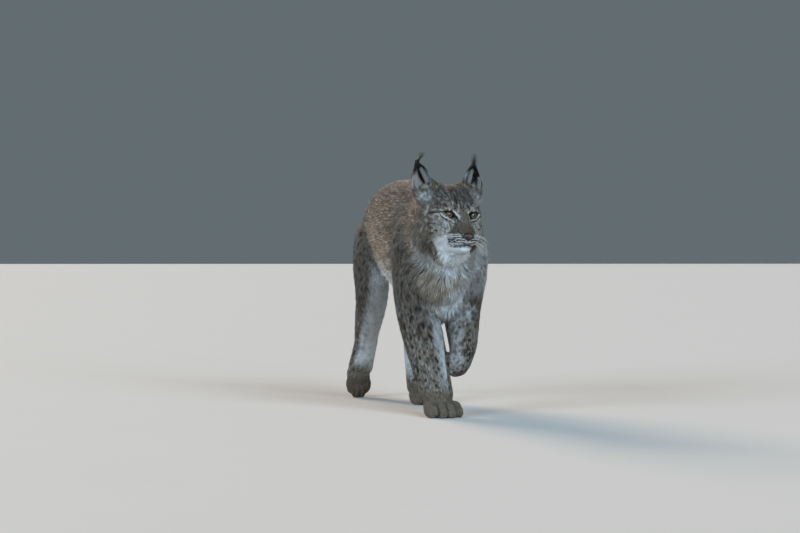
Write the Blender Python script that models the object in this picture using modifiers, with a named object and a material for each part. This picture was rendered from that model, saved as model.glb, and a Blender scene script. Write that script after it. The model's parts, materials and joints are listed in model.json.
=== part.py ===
"""Eurasian lynx, walking, as a life-size still model.

The animal faces -Y, its left side is +X, and the floor is z = 0. All sizes are metres and describe
the outside of the winter coat. It stands on its right forepaw, its left hind paw and the toe tips of
its right hind foot; the left forepaw is lifted and folded back.

The flesh is modelled whole, from lofted limbs and ellipsoids fused into one skin, and is then parted
into the named nodes with thin cuts. The ears, the eyes and the locks of the ruff are added to that.
"""

import math
import random

import bmesh
import bpy
import numpy as np
from mathutils import Matrix, Vector
from mathutils.bvhtree import BVHTree

# Driving dimensions
GAP = 0.0005  # between two nodes that touch
# Grid on which shapes are fused, and the rounds of smoothing that follow
BODY_FUSING = (0.0065, 14)  # the limbs
HEAD_FUSING = (0.0040, 12)  # the masses of the head
WHOLE_FUSING = (0.0026, 4)  # all of it, with the face and the paws
EDGE_ANGLE = 50  # degrees from which an edge is shown sharp

EYES_MIDDLE = Vector((-0.0210, -0.5200, 0.5290))  # the point between the two pupils
HEAD_YAW = math.radians(8)  # the head turns to the animal's left
HEAD_ROLL = math.radians(1.2)  # and its right side is a little higher
EYE_PLACE = Vector((0.0335, 0.0135, 0.0005))  # the left eyeball's centre in the head's frame
EYE_RADIUS = 0.0150
EYE_OPENING = (0.0118, 0.0068)  # half width and half height between the lids
EYE_SLANT = 13  # degrees that the outer corner is raised
EYE_CORNERS = 0.35  # how far the almond's corners are drawn out
EYE_DEPTHS = (0.004, -0.030)  # start and end of the opening, from the eyeball's centre
EYE_OUTWARD = 0.2  # how much the opening turns to the side on its way forward
MOUTH_RADIUS = 0.0013

# Each limb is a row of sections: x, y, z of the centre, half width, half depth, and the exponent of
# its outline, which is 2 for an ellipse and less for one that comes to a ridge.
TRUNK = [
    (-0.012, -0.378, 0.425, 0.048, 0.060, 2.0),
    (-0.010, -0.338, 0.436, 0.084, 0.100, 2.0),
    (-0.006, -0.280, 0.447, 0.104, 0.136, 2.1),
    (-0.002, -0.205, 0.459, 0.108, 0.161, 2.0),
    (0.000, -0.120, 0.468, 0.110, 0.168, 1.9),
    (0.000, -0.020, 0.479, 0.107, 0.166, 1.85),
    (0.000, 0.080, 0.493, 0.099, 0.157, 1.8),
    (0.000, 0.160, 0.506, 0.090, 0.142, 1.75),
    (0.000, 0.230, 0.517, 0.082, 0.124, 1.7),
    (0.000, 0.300, 0.515, 0.070, 0.099, 1.8),
    (0.000, 0.352, 0.515, 0.053, 0.073, 2.0),
    (0.000, 0.388, 0.515, 0.028, 0.040, 2.0),
]
NECK = [
    (0.000, -0.190, 0.490, 0.096, 0.124, 2.0),
    (-0.008, -0.262, 0.488, 0.098, 0.120, 2.0),
    (-0.018, -0.330, 0.488, 0.092, 0.108, 2.0),
    (-0.027, -0.385, 0.497, 0.082, 0.094, 2.0),
    (-0.033, -0.430, 0.510, 0.074, 0.078, 2.0),
    (-0.033, -0.462, 0.520, 0.050, 0.055, 2.0),
]
TAIL = [
    (0.000, 0.345, 0.552, 0.034, 0.036, 2.0),
    (0.000, 0.392, 0.535, 0.031, 0.032, 2.0),
    (0.001, 0.424, 0.500, 0.028, 0.028, 2.0),
    (0.003, 0.442, 0.452, 0.027, 0.027, 2.0),
    (0.004, 0.450, 0.404, 0.026, 0.026, 2.0),
    (0.004, 0.452, 0.370, 0.016, 0.016, 2.0),
]
FORELEG_RIGHT = [
    (-0.058, -0.180, 0.540, 0.030, 0.050, 2.0),
    (-0.074, -0.212, 0.480, 0.042, 0.078, 2.0),
    (-0.079, -0.240, 0.410, 0.046, 0.084, 2.0),
    (-0.071, -0.232, 0.345, 0.051, 0.074, 2.0),
    (-0.059, -0.235, 0.285, 0.057, 0.060, 2.0),
    (-0.048, -0.255, 0.220, 0.058, 0.053, 2.0),
    (-0.038, -0.277, 0.155, 0.054, 0.047, 2.0),
    (-0.031, -0.297, 0.100, 0.050, 0.044, 2.0),
    (-0.023, -0.314, 0.055, 0.045, 0.043, 2.0),
    (-0.019, -0.322, 0.030, 0.038, 0.038, 2.0),
]
FORELEG_LEFT = [
    (0.060, -0.175, 0.545, 0.030, 0.050, 2.0),
    (0.081, -0.212, 0.485, 0.042, 0.080, 2.0),
    (0.090, -0.240, 0.415, 0.047, 0.086, 2.0),
    (0.085, -0.222, 0.345, 0.052, 0.074, 2.0),
    (0.077, -0.214, 0.290, 0.055, 0.060, 2.0),
    (0.071, -0.238, 0.235, 0.047, 0.053, 2.0),
    (0.0645, -0.266, 0.185, 0.0395, 0.046, 2.0),
    (0.0525, -0.288, 0.147, 0.0300, 0.040, 2.0),
    (0.0470, -0.282, 0.128, 0.0265, 0.030, 2.0),
]
LEFT_WRIST = [
    (0.050, -0.300, 0.152, 0.025, 0.026, 2.0),
    (0.046, -0.282, 0.133, 0.029, 0.031, 2.0),
    (0.048, -0.248, 0.126, 0.029, 0.024, 2.0),
    (0.050, -0.215, 0.123, 0.028, 0.022, 2.0),
]
HINDLEG_RIGHT = [
    (-0.042, 0.250, 0.545, 0.030, 0.055, 2.0),
    (-0.052, 0.245, 0.485, 0.048, 0.092, 2.0),
    (-0.057, 0.236, 0.410, 0.051, 0.100, 2.0),
    (-0.055, 0.236, 0.345, 0.050, 0.085, 2.0),
    (-0.049, 0.266, 0.290, 0.047, 0.062, 2.0),
    (-0.042, 0.318, 0.240, 0.043, 0.048, 2.0),
    (-0.036, 0.362, 0.202, 0.039, 0.040, 2.0),
    (-0.034, 0.388, 0.160, 0.037, 0.035, 2.0),
    (-0.039, 0.406, 0.115, 0.039, 0.032, 2.0),
    (-0.044, 0.418, 0.080, 0.041, 0.029, 2.0),
]
HINDLEG_LEFT = [
    (0.044, 0.240, 0.548, 0.030, 0.055, 2.0),
    (0.058, 0.222, 0.485, 0.048, 0.092, 2.0),
    (0.069, 0.190, 0.410, 0.052, 0.096, 2.0),
    (0.074, 0.162, 0.350, 0.050, 0.078, 2.0),
    (0.076, 0.172, 0.295, 0.046, 0.062, 2.0),
    (0.076, 0.206, 0.245, 0.040, 0.050, 2.0),
    (0.075, 0.234, 0.200, 0.034, 0.042, 2.0),
    (0.074, 0.236, 0.150, 0.031, 0.036, 2.0),
    (0.071, 0.208, 0.100, 0.032, 0.034, 2.0),
    (0.068, 0.176, 0.060, 0.036, 0.032, 2.0),
    (0.067, 0.150, 0.038, 0.040, 0.030, 2.0),
]
# Rounded masses over the limbs: centre and half sizes
MASSES = [
    ((-0.056, -0.160, 0.515), (0.046, 0.075, 0.075)),  # right shoulder blade
    ((0.056, -0.155, 0.515), (0.046, 0.075, 0.075)),  # left shoulder blade
    ((-0.060, -0.165, 0.372), (0.040, 0.050, 0.040)),  # right elbow
    ((0.070, -0.160, 0.360), (0.040, 0.048, 0.040)),  # left elbow
    ((-0.034, 0.394, 0.207), (0.024, 0.026, 0.034)),  # right hock's heel
    ((0.074, 0.262, 0.192), (0.022, 0.024, 0.034)),  # left hock's heel
    ((-0.008, -0.310, 0.395), (0.080, 0.075, 0.095)),  # long hair of the breast
    ((0.010, -0.245, 0.330), (0.060, 0.070, 0.080)),  # the same between the forelegs
]

# The head is laid out from the point between its pupils: x to its left, -y ahead, z up.
# Each form of it: centre, half sizes, tilt about x in degrees, and whether it has a twin on the right.
# The large ones are blended softly first.
HEAD_MASSES = [
    ((0.000, 0.080, 0.012), (0.071, 0.080, 0.071), 0, False),  # braincase
    ((0.000, 0.040, 0.022), (0.051, 0.044, 0.034), 0, False),  # forehead
    ((0.000, 0.130, -0.004), (0.062, 0.044, 0.058), 0, False),  # nape
    ((0.000, -0.004, -0.050), (0.033, 0.034, 0.028), 0, False),  # muzzle
    ((0.000, -0.010, -0.018), (0.0180, 0.0170, 0.040), -24, False),  # bridge of the nose
    ((0.000, 0.030, -0.078), (0.040, 0.052, 0.026), 0, False),  # lower jaw
    ((0.040, 0.042, -0.036), (0.036, 0.048, 0.043), 0, True),  # cheek
    ((0.049, 0.050, 0.000), (0.026, 0.046, 0.032), 0, True),  # cheekbone
    ((0.058, 0.090, 0.020), (0.034, 0.042, 0.048), 0, True),  # temple
    ((0.057, 0.094, -0.038), (0.038, 0.044, 0.056), 0, True),  # base of the ruff
    ((0.000, 0.068, -0.080), (0.055, 0.062, 0.042), 0, False),  # throat
    ((0.060, 0.090, 0.054), (0.028, 0.024, 0.030), 0, True),  # base of the ear
]
HEAD_FORMS = [
    ((0.029, 0.0085, 0.0185), (0.023, 0.0140, 0.0095), 0, True),  # brow
    ((0.000, -0.013, -0.020), (0.0135, 0.0110, 0.034), -24, False),  # ridge of the nose
    ((0.0180, -0.0175, -0.0605), (0.0195, 0.0225, 0.0165), 0, True),  # whisker pad
    ((0.000, -0.0140, -0.0835), (0.0170, 0.0185, 0.0125), 0, False),  # chin
    ((0.0335, 0.0135, 0.0005), (0.0178, 0.0178, 0.0170), 0, True),  # lids, over the eyeball
    ((0.000, -0.0375, -0.0500), (0.0145, 0.0080, 0.0098), 0, False),  # nose leather
]
# The left ear's outline and the hollow in it: x, y, z, half width, half depth, exponent
EAR = [
    (0.065, 0.088, 0.040, 0.026, 0.020, 2.0),
    (0.069, 0.087, 0.060, 0.031, 0.020, 2.0),
    (0.0715, 0.087, 0.082, 0.0315, 0.018, 2.0),
    (0.0735, 0.089, 0.101, 0.0270, 0.015, 2.0),
    (0.0765, 0.091, 0.118, 0.0185, 0.011, 2.0),
    (0.0800, 0.093, 0.132, 0.0095, 0.007, 2.0),
    (0.0830, 0.094, 0.143, 0.0025, 0.003, 2.0),
]
EAR_HOLLOW = [
    (0.0700, 0.078, 0.066, 0.014, 0.012, 2.0),
    (0.0710, 0.080, 0.074, 0.0235, 0.018, 2.0),
    (0.0720, 0.081, 0.087, 0.0250, 0.0185, 2.0),
    (0.0735, 0.083, 0.101, 0.0210, 0.0165, 2.0),
    (0.0760, 0.085, 0.116, 0.0130, 0.0135, 2.0),
    (0.0790, 0.087, 0.129, 0.0050, 0.0100, 2.0),
]
EAR_FACING = (0.985, 0.17, 0)  # the way the ear's width runs
EAR_LEAN = {"left": -3.0, "right": 4.0}  # degrees outwards, about the ear's foot
EAR_FOOT = (0.066, 0.088, 0.055)
# Locks of an ear's tuft: the way from the tip, and the length
EAR_TUFTS = {
    "left": [((0.02, 0.05, 1.0), 0.030), ((-0.12, 0.02, 1.0), 0.025), ((0.10, 0.10, 1.0), 0.022)],
    "right": [((0.15, 0.05, 1.0), 0.030), ((0.42, 0.02, 1.0), 0.028), ((-0.02, 0.10, 1.0), 0.023)],
}
EAR_TIP = Vector((0.0815, 0.0935, 0.136))
EAR_TUFT_ROOT = 0.008  # how deep a lock is rooted in the ear's tip
EAR_TUFT_HALVES = (0.0036, 0.0028)  # half width and half depth of a lock
EAR_TUFT_SHARES = ((0, 0.7), (0.3, 1.0), (0.65, 0.7), (1.0, 0.12))  # along it, and its size there
EAR_TUFT_BEND = 0.15

# The ruff: tiers of locks from below the ear round the jaw, the left side first. Each row has the spot
# that a lock grows near, the way it sets out, its length, its width and how far its tip stands off.
LOCK_THICKNESS = 0.0060
LOCK_SHARES = (0.60, 1.00, 0.92, 0.58)  # of its width, from the root to just before the tip
LOCK_ROOT_DEPTH = 0.0075  # a lock starts this far under the skin
LOCK_RISE = 0.0105  # and has risen this far by half of its length
LOCK_HOLD = 0.012  # further than this from the skin it goes straight on
LOCK_DROOP = 0.25
RUFF_SEED = 5
RUFF_SHAKE = (0.10, 0.002)  # change of way, and of place, from lock to lock
RUFF_LENGTHS = (0.9, 1.12)
RUFF_WIDTHS = (0.9, 1.1)
RUFF = [
    ((0.086, 0.062, 0.030), (0.10, 0.90, -0.45), 0.040, 0.024, 0.002),
    ((0.088, 0.052, 0.010), (0.12, 0.80, -0.60), 0.042, 0.026, 0.002),
    ((0.088, 0.044, -0.012), (0.14, 0.66, -0.72), 0.044, 0.026, 0.003),
    ((0.085, 0.040, -0.034), (0.16, 0.50, -0.82), 0.046, 0.026, 0.003),
    ((0.077, 0.034, -0.055), (0.16, 0.36, -0.90), 0.046, 0.026, 0.003),
    ((0.064, 0.028, -0.073), (0.12, 0.22, -0.96), 0.044, 0.025, 0.003),
    ((0.048, 0.024, -0.087), (0.08, 0.14, -1.00), 0.042, 0.024, 0.003),
    ((0.094, 0.096, 0.008), (0.10, 0.85, -0.55), 0.040, 0.026, 0.001),
    ((0.096, 0.088, -0.016), (0.14, 0.72, -0.68), 0.044, 0.028, 0.002),
    ((0.095, 0.080, -0.040), (0.16, 0.56, -0.82), 0.048, 0.028, 0.003),
    ((0.089, 0.072, -0.062), (0.16, 0.40, -0.90), 0.050, 0.028, 0.004),
    ((0.077, 0.064, -0.081), (0.12, 0.26, -0.96), 0.050, 0.027, 0.004),
    ((0.061, 0.056, -0.096), (0.08, 0.14, -1.00), 0.048, 0.026, 0.004),
]
BEARD = [
    ((0.000, 0.010, -0.098), (0.00, 0.05, -1.0), 0.032, 0.024, 0.002),
    ((0.020, 0.014, -0.096), (0.06, 0.05, -1.0), 0.036, 0.024, 0.002),
    ((-0.020, 0.014, -0.096), (-0.06, 0.05, -1.0), 0.036, 0.024, 0.002),
    ((0.011, 0.040, -0.108), (0.03, 0.05, -1.0), 0.042, 0.026, 0.002),
    ((-0.012, 0.042, -0.108), (-0.03, 0.05, -1.0), 0.043, 0.026, 0.002),
    ((0.033, 0.042, -0.104), (0.06, 0.08, -1.0), 0.044, 0.026, 0.002),
    ((-0.034, 0.042, -0.104), (-0.06, 0.08, -1.0), 0.043, 0.026, 0.002),
]
MOUTH = [
    (-0.0390, 0.0080, -0.0720),
    (-0.0300, -0.0140, -0.0770),
    (-0.0150, -0.0315, -0.0765),
    (0.0000, -0.0355, -0.0725),
    (0.0150, -0.0315, -0.0765),
    (0.0300, -0.0140, -0.0770),
    (0.0390, 0.0080, -0.0720),
]
PHILTRUM = [(0.0, -0.0440, -0.0570), (0.0, -0.0420, -0.0620), (0.0, -0.0375, -0.0725)]
NOSTRIL = ((0.0062, -0.0425, -0.0500), (0.0030, 0.0055, 0.0024))

# Paws in their own frame: the toes point to -y and the sole lies in z = 0
PAW_FORMS = [
    ((0.000, 0.014, 0.029), (0.042, 0.048, 0.029)),  # palm
    ((0.000, -0.028, 0.018), (0.042, 0.030, 0.017)),  # web of hair between the toes
]
TOES = [(-0.0360, -0.018), (-0.0128, -0.036), (0.0128, -0.036), (0.0360, -0.018)]
KNUCKLE = (0.0245, (0.0158, 0.028, 0.0225))  # height, and half sizes
TIP = (0.0170, (0.0142, 0.0165, 0.0170))

# Paw frames: the sole's middle, then yaw, pitch and roll in degrees, the paw's scale and its toes' spread
PAWS = {
    "forepaw_right": ((-0.0215, -0.335, -0.0030), (2, 0, 0), 1.00, 1.00),
    "hindpaw_left": ((0.068, 0.118, -0.0030), (4, 0, 0), 0.92, 1.00),
    "forepaw_left": ((0.0550, -0.222, 0.099), (180, 0, 0), 0.78, 0.85),
    "hindpaw_right": ((-0.046, 0.447, 0.053), (0, 80, 0), 0.88, 0.80),
}

# The skin is parted into nodes by prisms, one after the other; the torso is what is left. Each has the
# axis it runs along, its start and end on it, and its outline in the other two axes.
PARTING = {
    "head": (
        "x", -0.3, 0.3,
        [(-0.76, 0.32), (-0.440, 0.32), (-0.386, 0.62), (-0.370, 0.80), (-0.76, 0.80)],
    ),
    "neck": (
        "x", -0.3, 0.3,
        [(-0.60, 0.34), (-0.371, 0.34), (-0.198, 0.66), (-0.198, 0.80), (-0.60, 0.80)],
    ),
    "tail": (
        "x", -0.05, 0.055,
        [(0.386, 0.33), (0.392, 0.49), (0.362, 0.60), (0.55, 0.60), (0.55, 0.33)],
    ),
    "forepaw_right": ("x", -0.10, 0.035, [(-0.44, -0.1), (-0.20, -0.1), (-0.20, 0.109), (-0.44, 0.034)]),
    "forepaw_left": ("x", 0.010, 0.12, [(-0.262, 0.08), (-0.10, 0.08), (-0.10, 0.160), (-0.236, 0.160)]),
    "hindpaw_right": ("x", -0.12, 0.035, [(0.36, -0.1), (0.55, -0.1), (0.55, 0.088), (0.36, 0.098)]),
    "hindpaw_left": ("x", 0.01, 0.15, [(0.03, -0.1), (0.28, -0.1), (0.28, 0.120), (0.03, -0.006)]),
    "foreleg_right": (
        "y", -0.60, -0.105,
        [
            (-0.30, -0.1), (0.0195, -0.1), (0.017, 0.200), (0.006, 0.250),
            (-0.035, 0.330), (-0.122, 0.470), (-0.30, 0.50),
        ],
    ),
    "foreleg_left": (
        "y", -0.60, -0.105,
        [
            (0.30, -0.1), (0.30, 0.50), (0.136, 0.470), (0.045, 0.330),
            (0.022, 0.250), (0.018, 0.200), (0.020, -0.1),
        ],
    ),
    "hindleg_right": (
        "y", 0.105, 0.60,
        [(-0.30, -0.1), (0.005, -0.1), (0.005, 0.350), (-0.012, 0.375), (-0.125, 0.500), (-0.30, 0.54)],
    ),
    "hindleg_left": (
        "y", 0.075, 0.60,
        [(0.30, -0.1), (0.30, 0.54), (0.130, 0.500), (0.020, 0.375), (0.006, 0.350), (0.006, -0.1)],
    ),
}
FLESH_TRIANGLES = 8400
FINE_SHARE = 0.05  # how much harder the fine places resist being thinned out
# Fine places: middle and reach
FINE_PLACES = [
    ((-0.020, -0.500, 0.500), 0.120),
    ((-0.022, -0.345, 0.025), 0.075),
    ((0.068, 0.105, 0.025), 0.070),
    ((0.055, -0.215, 0.115), 0.065),
    ((-0.046, 0.440, 0.045), 0.070),
]

# Colour and roughness of each node
GREY_BROWN = (0.205, 0.160, 0.125)
FINISHES = {
    "head": ((0.230, 0.175, 0.130), 0.85),
    "neck": (GREY_BROWN, 0.85),
    "torso": (GREY_BROWN, 0.85),
    "tail": ((0.120, 0.090, 0.070), 0.85),
    "ear_left": ((0.200, 0.185, 0.170), 0.85),
    "ear_right": ((0.200, 0.185, 0.170), 0.85),
    "eye_left": ((0.420, 0.220, 0.040), 0.10),
    "eye_right": ((0.420, 0.220, 0.040), 0.10),
    "foreleg_left": (GREY_BROWN, 0.85),
    "foreleg_right": (GREY_BROWN, 0.85),
    "hindleg_left": (GREY_BROWN, 0.85),
    "hindleg_right": (GREY_BROWN, 0.85),
    "forepaw_left": ((0.190, 0.150, 0.115), 0.85),
    "forepaw_right": ((0.190, 0.150, 0.115), 0.85),
    "hindpaw_left": ((0.180, 0.135, 0.100), 0.85),
    "hindpaw_right": ((0.180, 0.135, 0.100), 0.85),
}


def clear_scene():
    for obj in list(bpy.data.objects):
        bpy.data.objects.remove(obj, do_unlink=True)
    for collection in list(bpy.data.collections):
        bpy.data.collections.remove(collection)


def add_collection(name):
    collection = bpy.data.collections.new(name)
    bpy.context.scene.collection.children.link(collection)
    return collection


def make_material(name, colour, roughness):
    material = bpy.data.materials.new(name)
    material.use_nodes = True
    shader = material.node_tree.nodes["Principled BSDF"]
    shader.inputs["Base Color"].default_value = (*colour, 1.0)
    shader.inputs["Roughness"].default_value = roughness
    shader.inputs["Metallic"].default_value = 0.0
    return material


def mesh_object(name, shapes, collection):
    """One object from several closed shapes, each a list of points and a list of faces."""
    points = []
    faces = []
    for shape_points, shape_faces in shapes:
        start = len(points)
        points += [tuple(point) for point in shape_points]
        faces += [[start + k for k in face] for face in shape_faces]
    mesh = bpy.data.meshes.new(name)
    mesh.from_pydata(points, [], faces)
    mesh.update()
    obj = bpy.data.objects.new(name, mesh)
    collection.objects.link(obj)
    return obj


def apply_modifiers(obj):
    """Replaces the object's mesh by what its modifiers make of it."""
    graph = bpy.context.evaluated_depsgraph_get()
    evaluated = obj.evaluated_get(graph)
    mesh = bpy.data.meshes.new_from_object(evaluated)
    obj.modifiers.clear()
    old = obj.data
    obj.data = mesh
    bpy.data.meshes.remove(old)


def smooth_rows(rows, steps):
    """A Catmull-Rom curve through rows of numbers, with this many steps between two rows."""
    rows = np.array(rows, float)
    padded = np.vstack([2 * rows[0] - rows[1], rows, 2 * rows[-1] - rows[-2]])
    made = []
    for i in range(1, len(padded) - 2):
        before, start, end, after = padded[i - 1 : i + 3]
        for t in np.arange(steps) / steps:
            made.append(
                0.5
                * (
                    2 * start
                    + (end - before) * t
                    + (2 * before - 5 * start + 4 * end - after) * t**2
                    + (3 * start - before - 3 * end + after) * t**3
                )
            )
    made.append(rows[-1])
    return np.array(made)


def outline_power(value, exponent):
    return math.copysign(abs(value) ** (2 / exponent), value)


def loft(rows, steps=3, sides=24, side_way=(1, 0, 0)):
    """A closed limb through its sections. The width runs along side_way and the depth across it."""
    curve = smooth_rows(rows, steps)
    centres = curve[:, :3]
    ways = np.gradient(centres, axis=0)
    points = []
    for centre, way, (half_width, half_depth, exponent) in zip(centres, ways, curve[:, 3:]):
        along = Vector(way).normalized()
        side = Vector(side_way)
        side = (side - along * side.dot(along)).normalized()
        across = along.cross(side)
        for k in range(sides):
            angle = 2 * math.pi * k / sides
            offset = side * half_width * outline_power(math.cos(angle), exponent)
            offset += across * half_depth * outline_power(math.sin(angle), exponent)
            points.append(Vector(centre) + offset)
    faces = []
    for ring in range(len(centres) - 1):
        for k in range(sides):
            first = ring * sides + k
            second = ring * sides + (k + 1) % sides
            faces.append([first, second, second + sides, first + sides])
    last = (len(centres) - 1) * sides
    faces.append([k for k in reversed(range(sides))])
    faces.append([last + k for k in range(sides)])
    return points, faces


def shape_from(bm):
    """The points and faces of a bmesh, which is freed."""
    bm.verts.ensure_lookup_table()
    points = [vertex.co.copy() for vertex in bm.verts]
    faces = [[vertex.index for vertex in face.verts] for face in bm.faces]
    bm.free()
    return points, faces


def ellipsoid(centre, sizes, frame=Matrix.Identity(4), tilt=0.0, around=20):
    """A closed ellipsoid in a frame, turned by tilt degrees about its own x."""
    turn = Matrix.Rotation(math.radians(tilt), 4, "X")
    matrix = frame @ Matrix.Translation(centre) @ turn @ Matrix.Diagonal((*sizes, 1.0))
    bm = bmesh.new()
    rings = around // 2 + 1
    bmesh.ops.create_uvsphere(bm, u_segments=around, v_segments=rings, radius=1.0, matrix=matrix)
    bm.verts.index_update()
    return shape_from(bm)


def fused(name, shapes, collection, fusing):
    """Turns overlapping closed shapes into one smooth skin."""
    voxel, rounds = fusing
    obj = mesh_object(name, shapes, collection)
    remesh = obj.modifiers.new("fuse", "REMESH")
    remesh.mode = "VOXEL"
    remesh.voxel_size = voxel
    smooth = obj.modifiers.new("smooth", "SMOOTH")
    smooth.iterations = rounds
    smooth.factor = 0.5
    apply_modifiers(obj)
    return obj


def shape_of(obj):
    return [v.co for v in obj.data.vertices], [list(face.vertices) for face in obj.data.polygons]


def head_frame():
    turn = Matrix.Rotation(HEAD_YAW, 4, "Z") @ Matrix.Rotation(HEAD_ROLL, 4, "Y")
    return Matrix.Translation(EYES_MIDDLE) @ turn


def paw_frame(place, turns):
    yaw, pitch, roll = (math.radians(angle) for angle in turns)
    turn = Matrix.Rotation(yaw, 4, "Z") @ Matrix.Rotation(pitch, 4, "X") @ Matrix.Rotation(roll, 4, "Y")
    return Matrix.Translation(place) @ turn


def paw_shapes(place, turns, scale, spread):
    frame = paw_frame(place, turns) @ Matrix.Scale(scale, 4)
    shapes = [ellipsoid(centre, sizes, frame) for centre, sizes in PAW_FORMS]
    for x, y in TOES:
        tip = (x * (1.6 * spread - 0.55), y - 0.020 * spread, TIP[0])
        shapes.append(ellipsoid((x * spread, y, KNUCKLE[0]), KNUCKLE[1], frame))
        shapes.append(ellipsoid(tip, TIP[1], frame))
    return shapes


def twins(spot, has_twin=True):
    x, y, z = spot[:3]
    return [(x, y, z), (-x, y, z)] if has_twin else [(x, y, z)]


def head_shapes(forms):
    frame = head_frame()
    shapes = []
    for centre, sizes, tilt, has_twin in forms:
        for spot in twins(centre, has_twin):
            shapes.append(ellipsoid(spot, sizes, frame, tilt, 28))
    return shapes


def flesh_object(collection):
    """The whole animal without its ears, as one dense skin."""
    limbs = (TRUNK, NECK, FORELEG_RIGHT, FORELEG_LEFT, LEFT_WRIST, HINDLEG_RIGHT, HINDLEG_LEFT)
    shapes = [loft(limb) for limb in limbs]
    shapes += [ellipsoid(centre, sizes) for centre, sizes in MASSES]
    body = fused("body_mass", shapes, collection, BODY_FUSING)
    skull = fused("head_mass", head_shapes(HEAD_MASSES), collection, HEAD_FUSING)

    shapes = [shape_of(body), shape_of(skull), loft(TAIL)] + head_shapes(HEAD_FORMS)
    for place, turns, scale, spread in PAWS.values():
        shapes += paw_shapes(place, turns, scale, spread)
    for mass in (body, skull):
        bpy.data.objects.remove(mass, do_unlink=True)
    return fused("flesh", shapes, collection, WHOLE_FUSING)


def widened(outline, distance):
    """The same outline with each of its sides moved outwards."""
    spots = [Vector(spot) for spot in outline]
    area = sum(p.cross(q) for p, q in zip(spots, spots[1:] + spots[:1]))
    turned = math.copysign(1, area)
    made = []
    for before, spot, after in zip(spots[-1:] + spots[:-1], spots, spots[1:] + spots[:1]):
        first = (spot - before).normalized()
        second = (after - spot).normalized()
        normal_a = Vector((first.y, -first.x)) * turned
        normal_b = Vector((second.y, -second.x)) * turned
        made.append(spot + (normal_a + normal_b) * distance / (1 + normal_a.dot(normal_b)))
    return made


def prism(axis, start, end, outline, extra=0.0):
    """A closed prism along an axis, widened all round by extra."""
    low = start - extra
    bm = bmesh.new()
    corners = []
    for a, b in widened(outline, extra):
        corners.append(bm.verts.new((low, a, b) if axis == "x" else (a, low, b)))
    base = bm.faces.new(corners)
    length = end - start + 2 * extra
    made = bmesh.ops.extrude_face_region(bm, geom=[base], use_keep_orig=True)["geom"]
    moved_corners = [item for item in made if isinstance(item, bmesh.types.BMVert)]
    way = (length, 0, 0) if axis == "x" else (0, length, 0)
    bmesh.ops.translate(bm, verts=moved_corners, vec=way)
    bmesh.ops.recalc_face_normals(bm, faces=bm.faces)
    bm.verts.index_update()
    return shape_from(bm)


def face_outward(obj):
    bm = bmesh.new()
    bm.from_mesh(obj.data)
    bmesh.ops.recalc_face_normals(bm, faces=bm.faces)
    bm.to_mesh(obj.data)
    bm.free()


def is_closed(mesh):
    bm = bmesh.new()
    bm.from_mesh(mesh)
    closed = all(edge.is_manifold for edge in bm.edges)
    bm.free()
    return closed


def combine(obj, other, operation):
    """A Boolean, applied at once. The other object is used up."""
    face_outward(other)
    modifier = obj.modifiers.new(operation.lower(), "BOOLEAN")
    modifier.operation = operation
    modifier.solver = "MANIFOLD" if is_closed(obj.data) and is_closed(other.data) else "EXACT"
    if modifier.solver == "EXACT":
        print("EXACT is used on", obj.name)
    modifier.object = other
    apply_modifiers(obj)
    bpy.data.objects.remove(other, do_unlink=True)


def cut_away(obj, shapes, collection):
    combine(obj, mesh_object("cutter", shapes, collection), "DIFFERENCE")


def largest_surface(mesh):
    """The largest of a mesh's separate closed surfaces, as points and faces."""
    label = np.arange(len(mesh.vertices))
    ends = np.empty(len(mesh.edges) * 2, np.int64)
    mesh.edges.foreach_get("vertices", ends)
    ends = ends.reshape(-1, 2)
    while True:
        low = np.minimum(label[ends[:, 0]], label[ends[:, 1]])
        before = label.copy()
        np.minimum.at(label, ends[:, 0], low)
        np.minimum.at(label, ends[:, 1], low)
        label = label[label]
        if (before == label).all():
            break
    groups = {}
    for face in mesh.polygons:
        corners = list(face.vertices)
        groups.setdefault(int(label[corners[0]]), []).append(corners)
    faces = max(groups.values(), key=len)
    used = sorted({k for face in faces for k in face})
    place = {k: i for i, k in enumerate(used)}
    points = [mesh.vertices[k].co.copy() for k in used]
    return points, [[place[k] for k in face] for face in faces]


def triangles(obj):
    return sum(len(face.vertices) - 2 for face in obj.data.polygons)


def thin_out(obj, wanted):
    """Brings the skin down to about this many triangles, the fewest of them on its plain parts."""
    group = obj.vertex_groups.new(name="plain")
    for vertex in obj.data.vertices:
        near = min((vertex.co - Vector(spot)).length / reach for spot, reach in FINE_PLACES)
        group.add([vertex.index], min(1.0, max(0.5, (near - 0.8) * 4)), "REPLACE")
    modifier = obj.modifiers.new("decimate", "DECIMATE")
    modifier.ratio = wanted / triangles(obj)
    modifier.use_collapse_triangulate = True
    modifier.vertex_group = "plain"
    modifier.vertex_group_factor = FINE_SHARE
    apply_modifiers(obj)
    if not is_closed(obj.data):
        print("the thinned skin is open")


def keep_largest(obj, collection):
    name = obj.name
    largest = largest_surface(obj.data)
    bpy.data.objects.remove(obj, do_unlink=True)
    return mesh_object(name, [largest], collection)


def flesh_nodes(collection):
    """The skin parted into its nodes."""
    rest = flesh_object(collection)
    thin_out(rest, FLESH_TRIANGLES)
    cut_away(rest, [prism("x", -1, 1, [(-1, -1), (1, -1), (1, 0), (-1, 0)])], collection)
    nodes = {}
    for name, (axis, start, end, outline) in PARTING.items():
        node = bpy.data.objects.new(name, rest.data.copy())
        collection.objects.link(node)
        inside = mesh_object("inside", [prism(axis, start, end, outline)], collection)
        combine(node, inside, "INTERSECT")
        cut_away(rest, [prism(axis, start, end, outline, GAP)], collection)
        nodes[name] = keep_largest(node, collection)
    rest.name = "torso"
    nodes["torso"] = keep_largest(rest, collection)
    return nodes


def moved(shape, frame):
    points, faces = shape
    return [frame @ Vector(point) for point in points], faces


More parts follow.
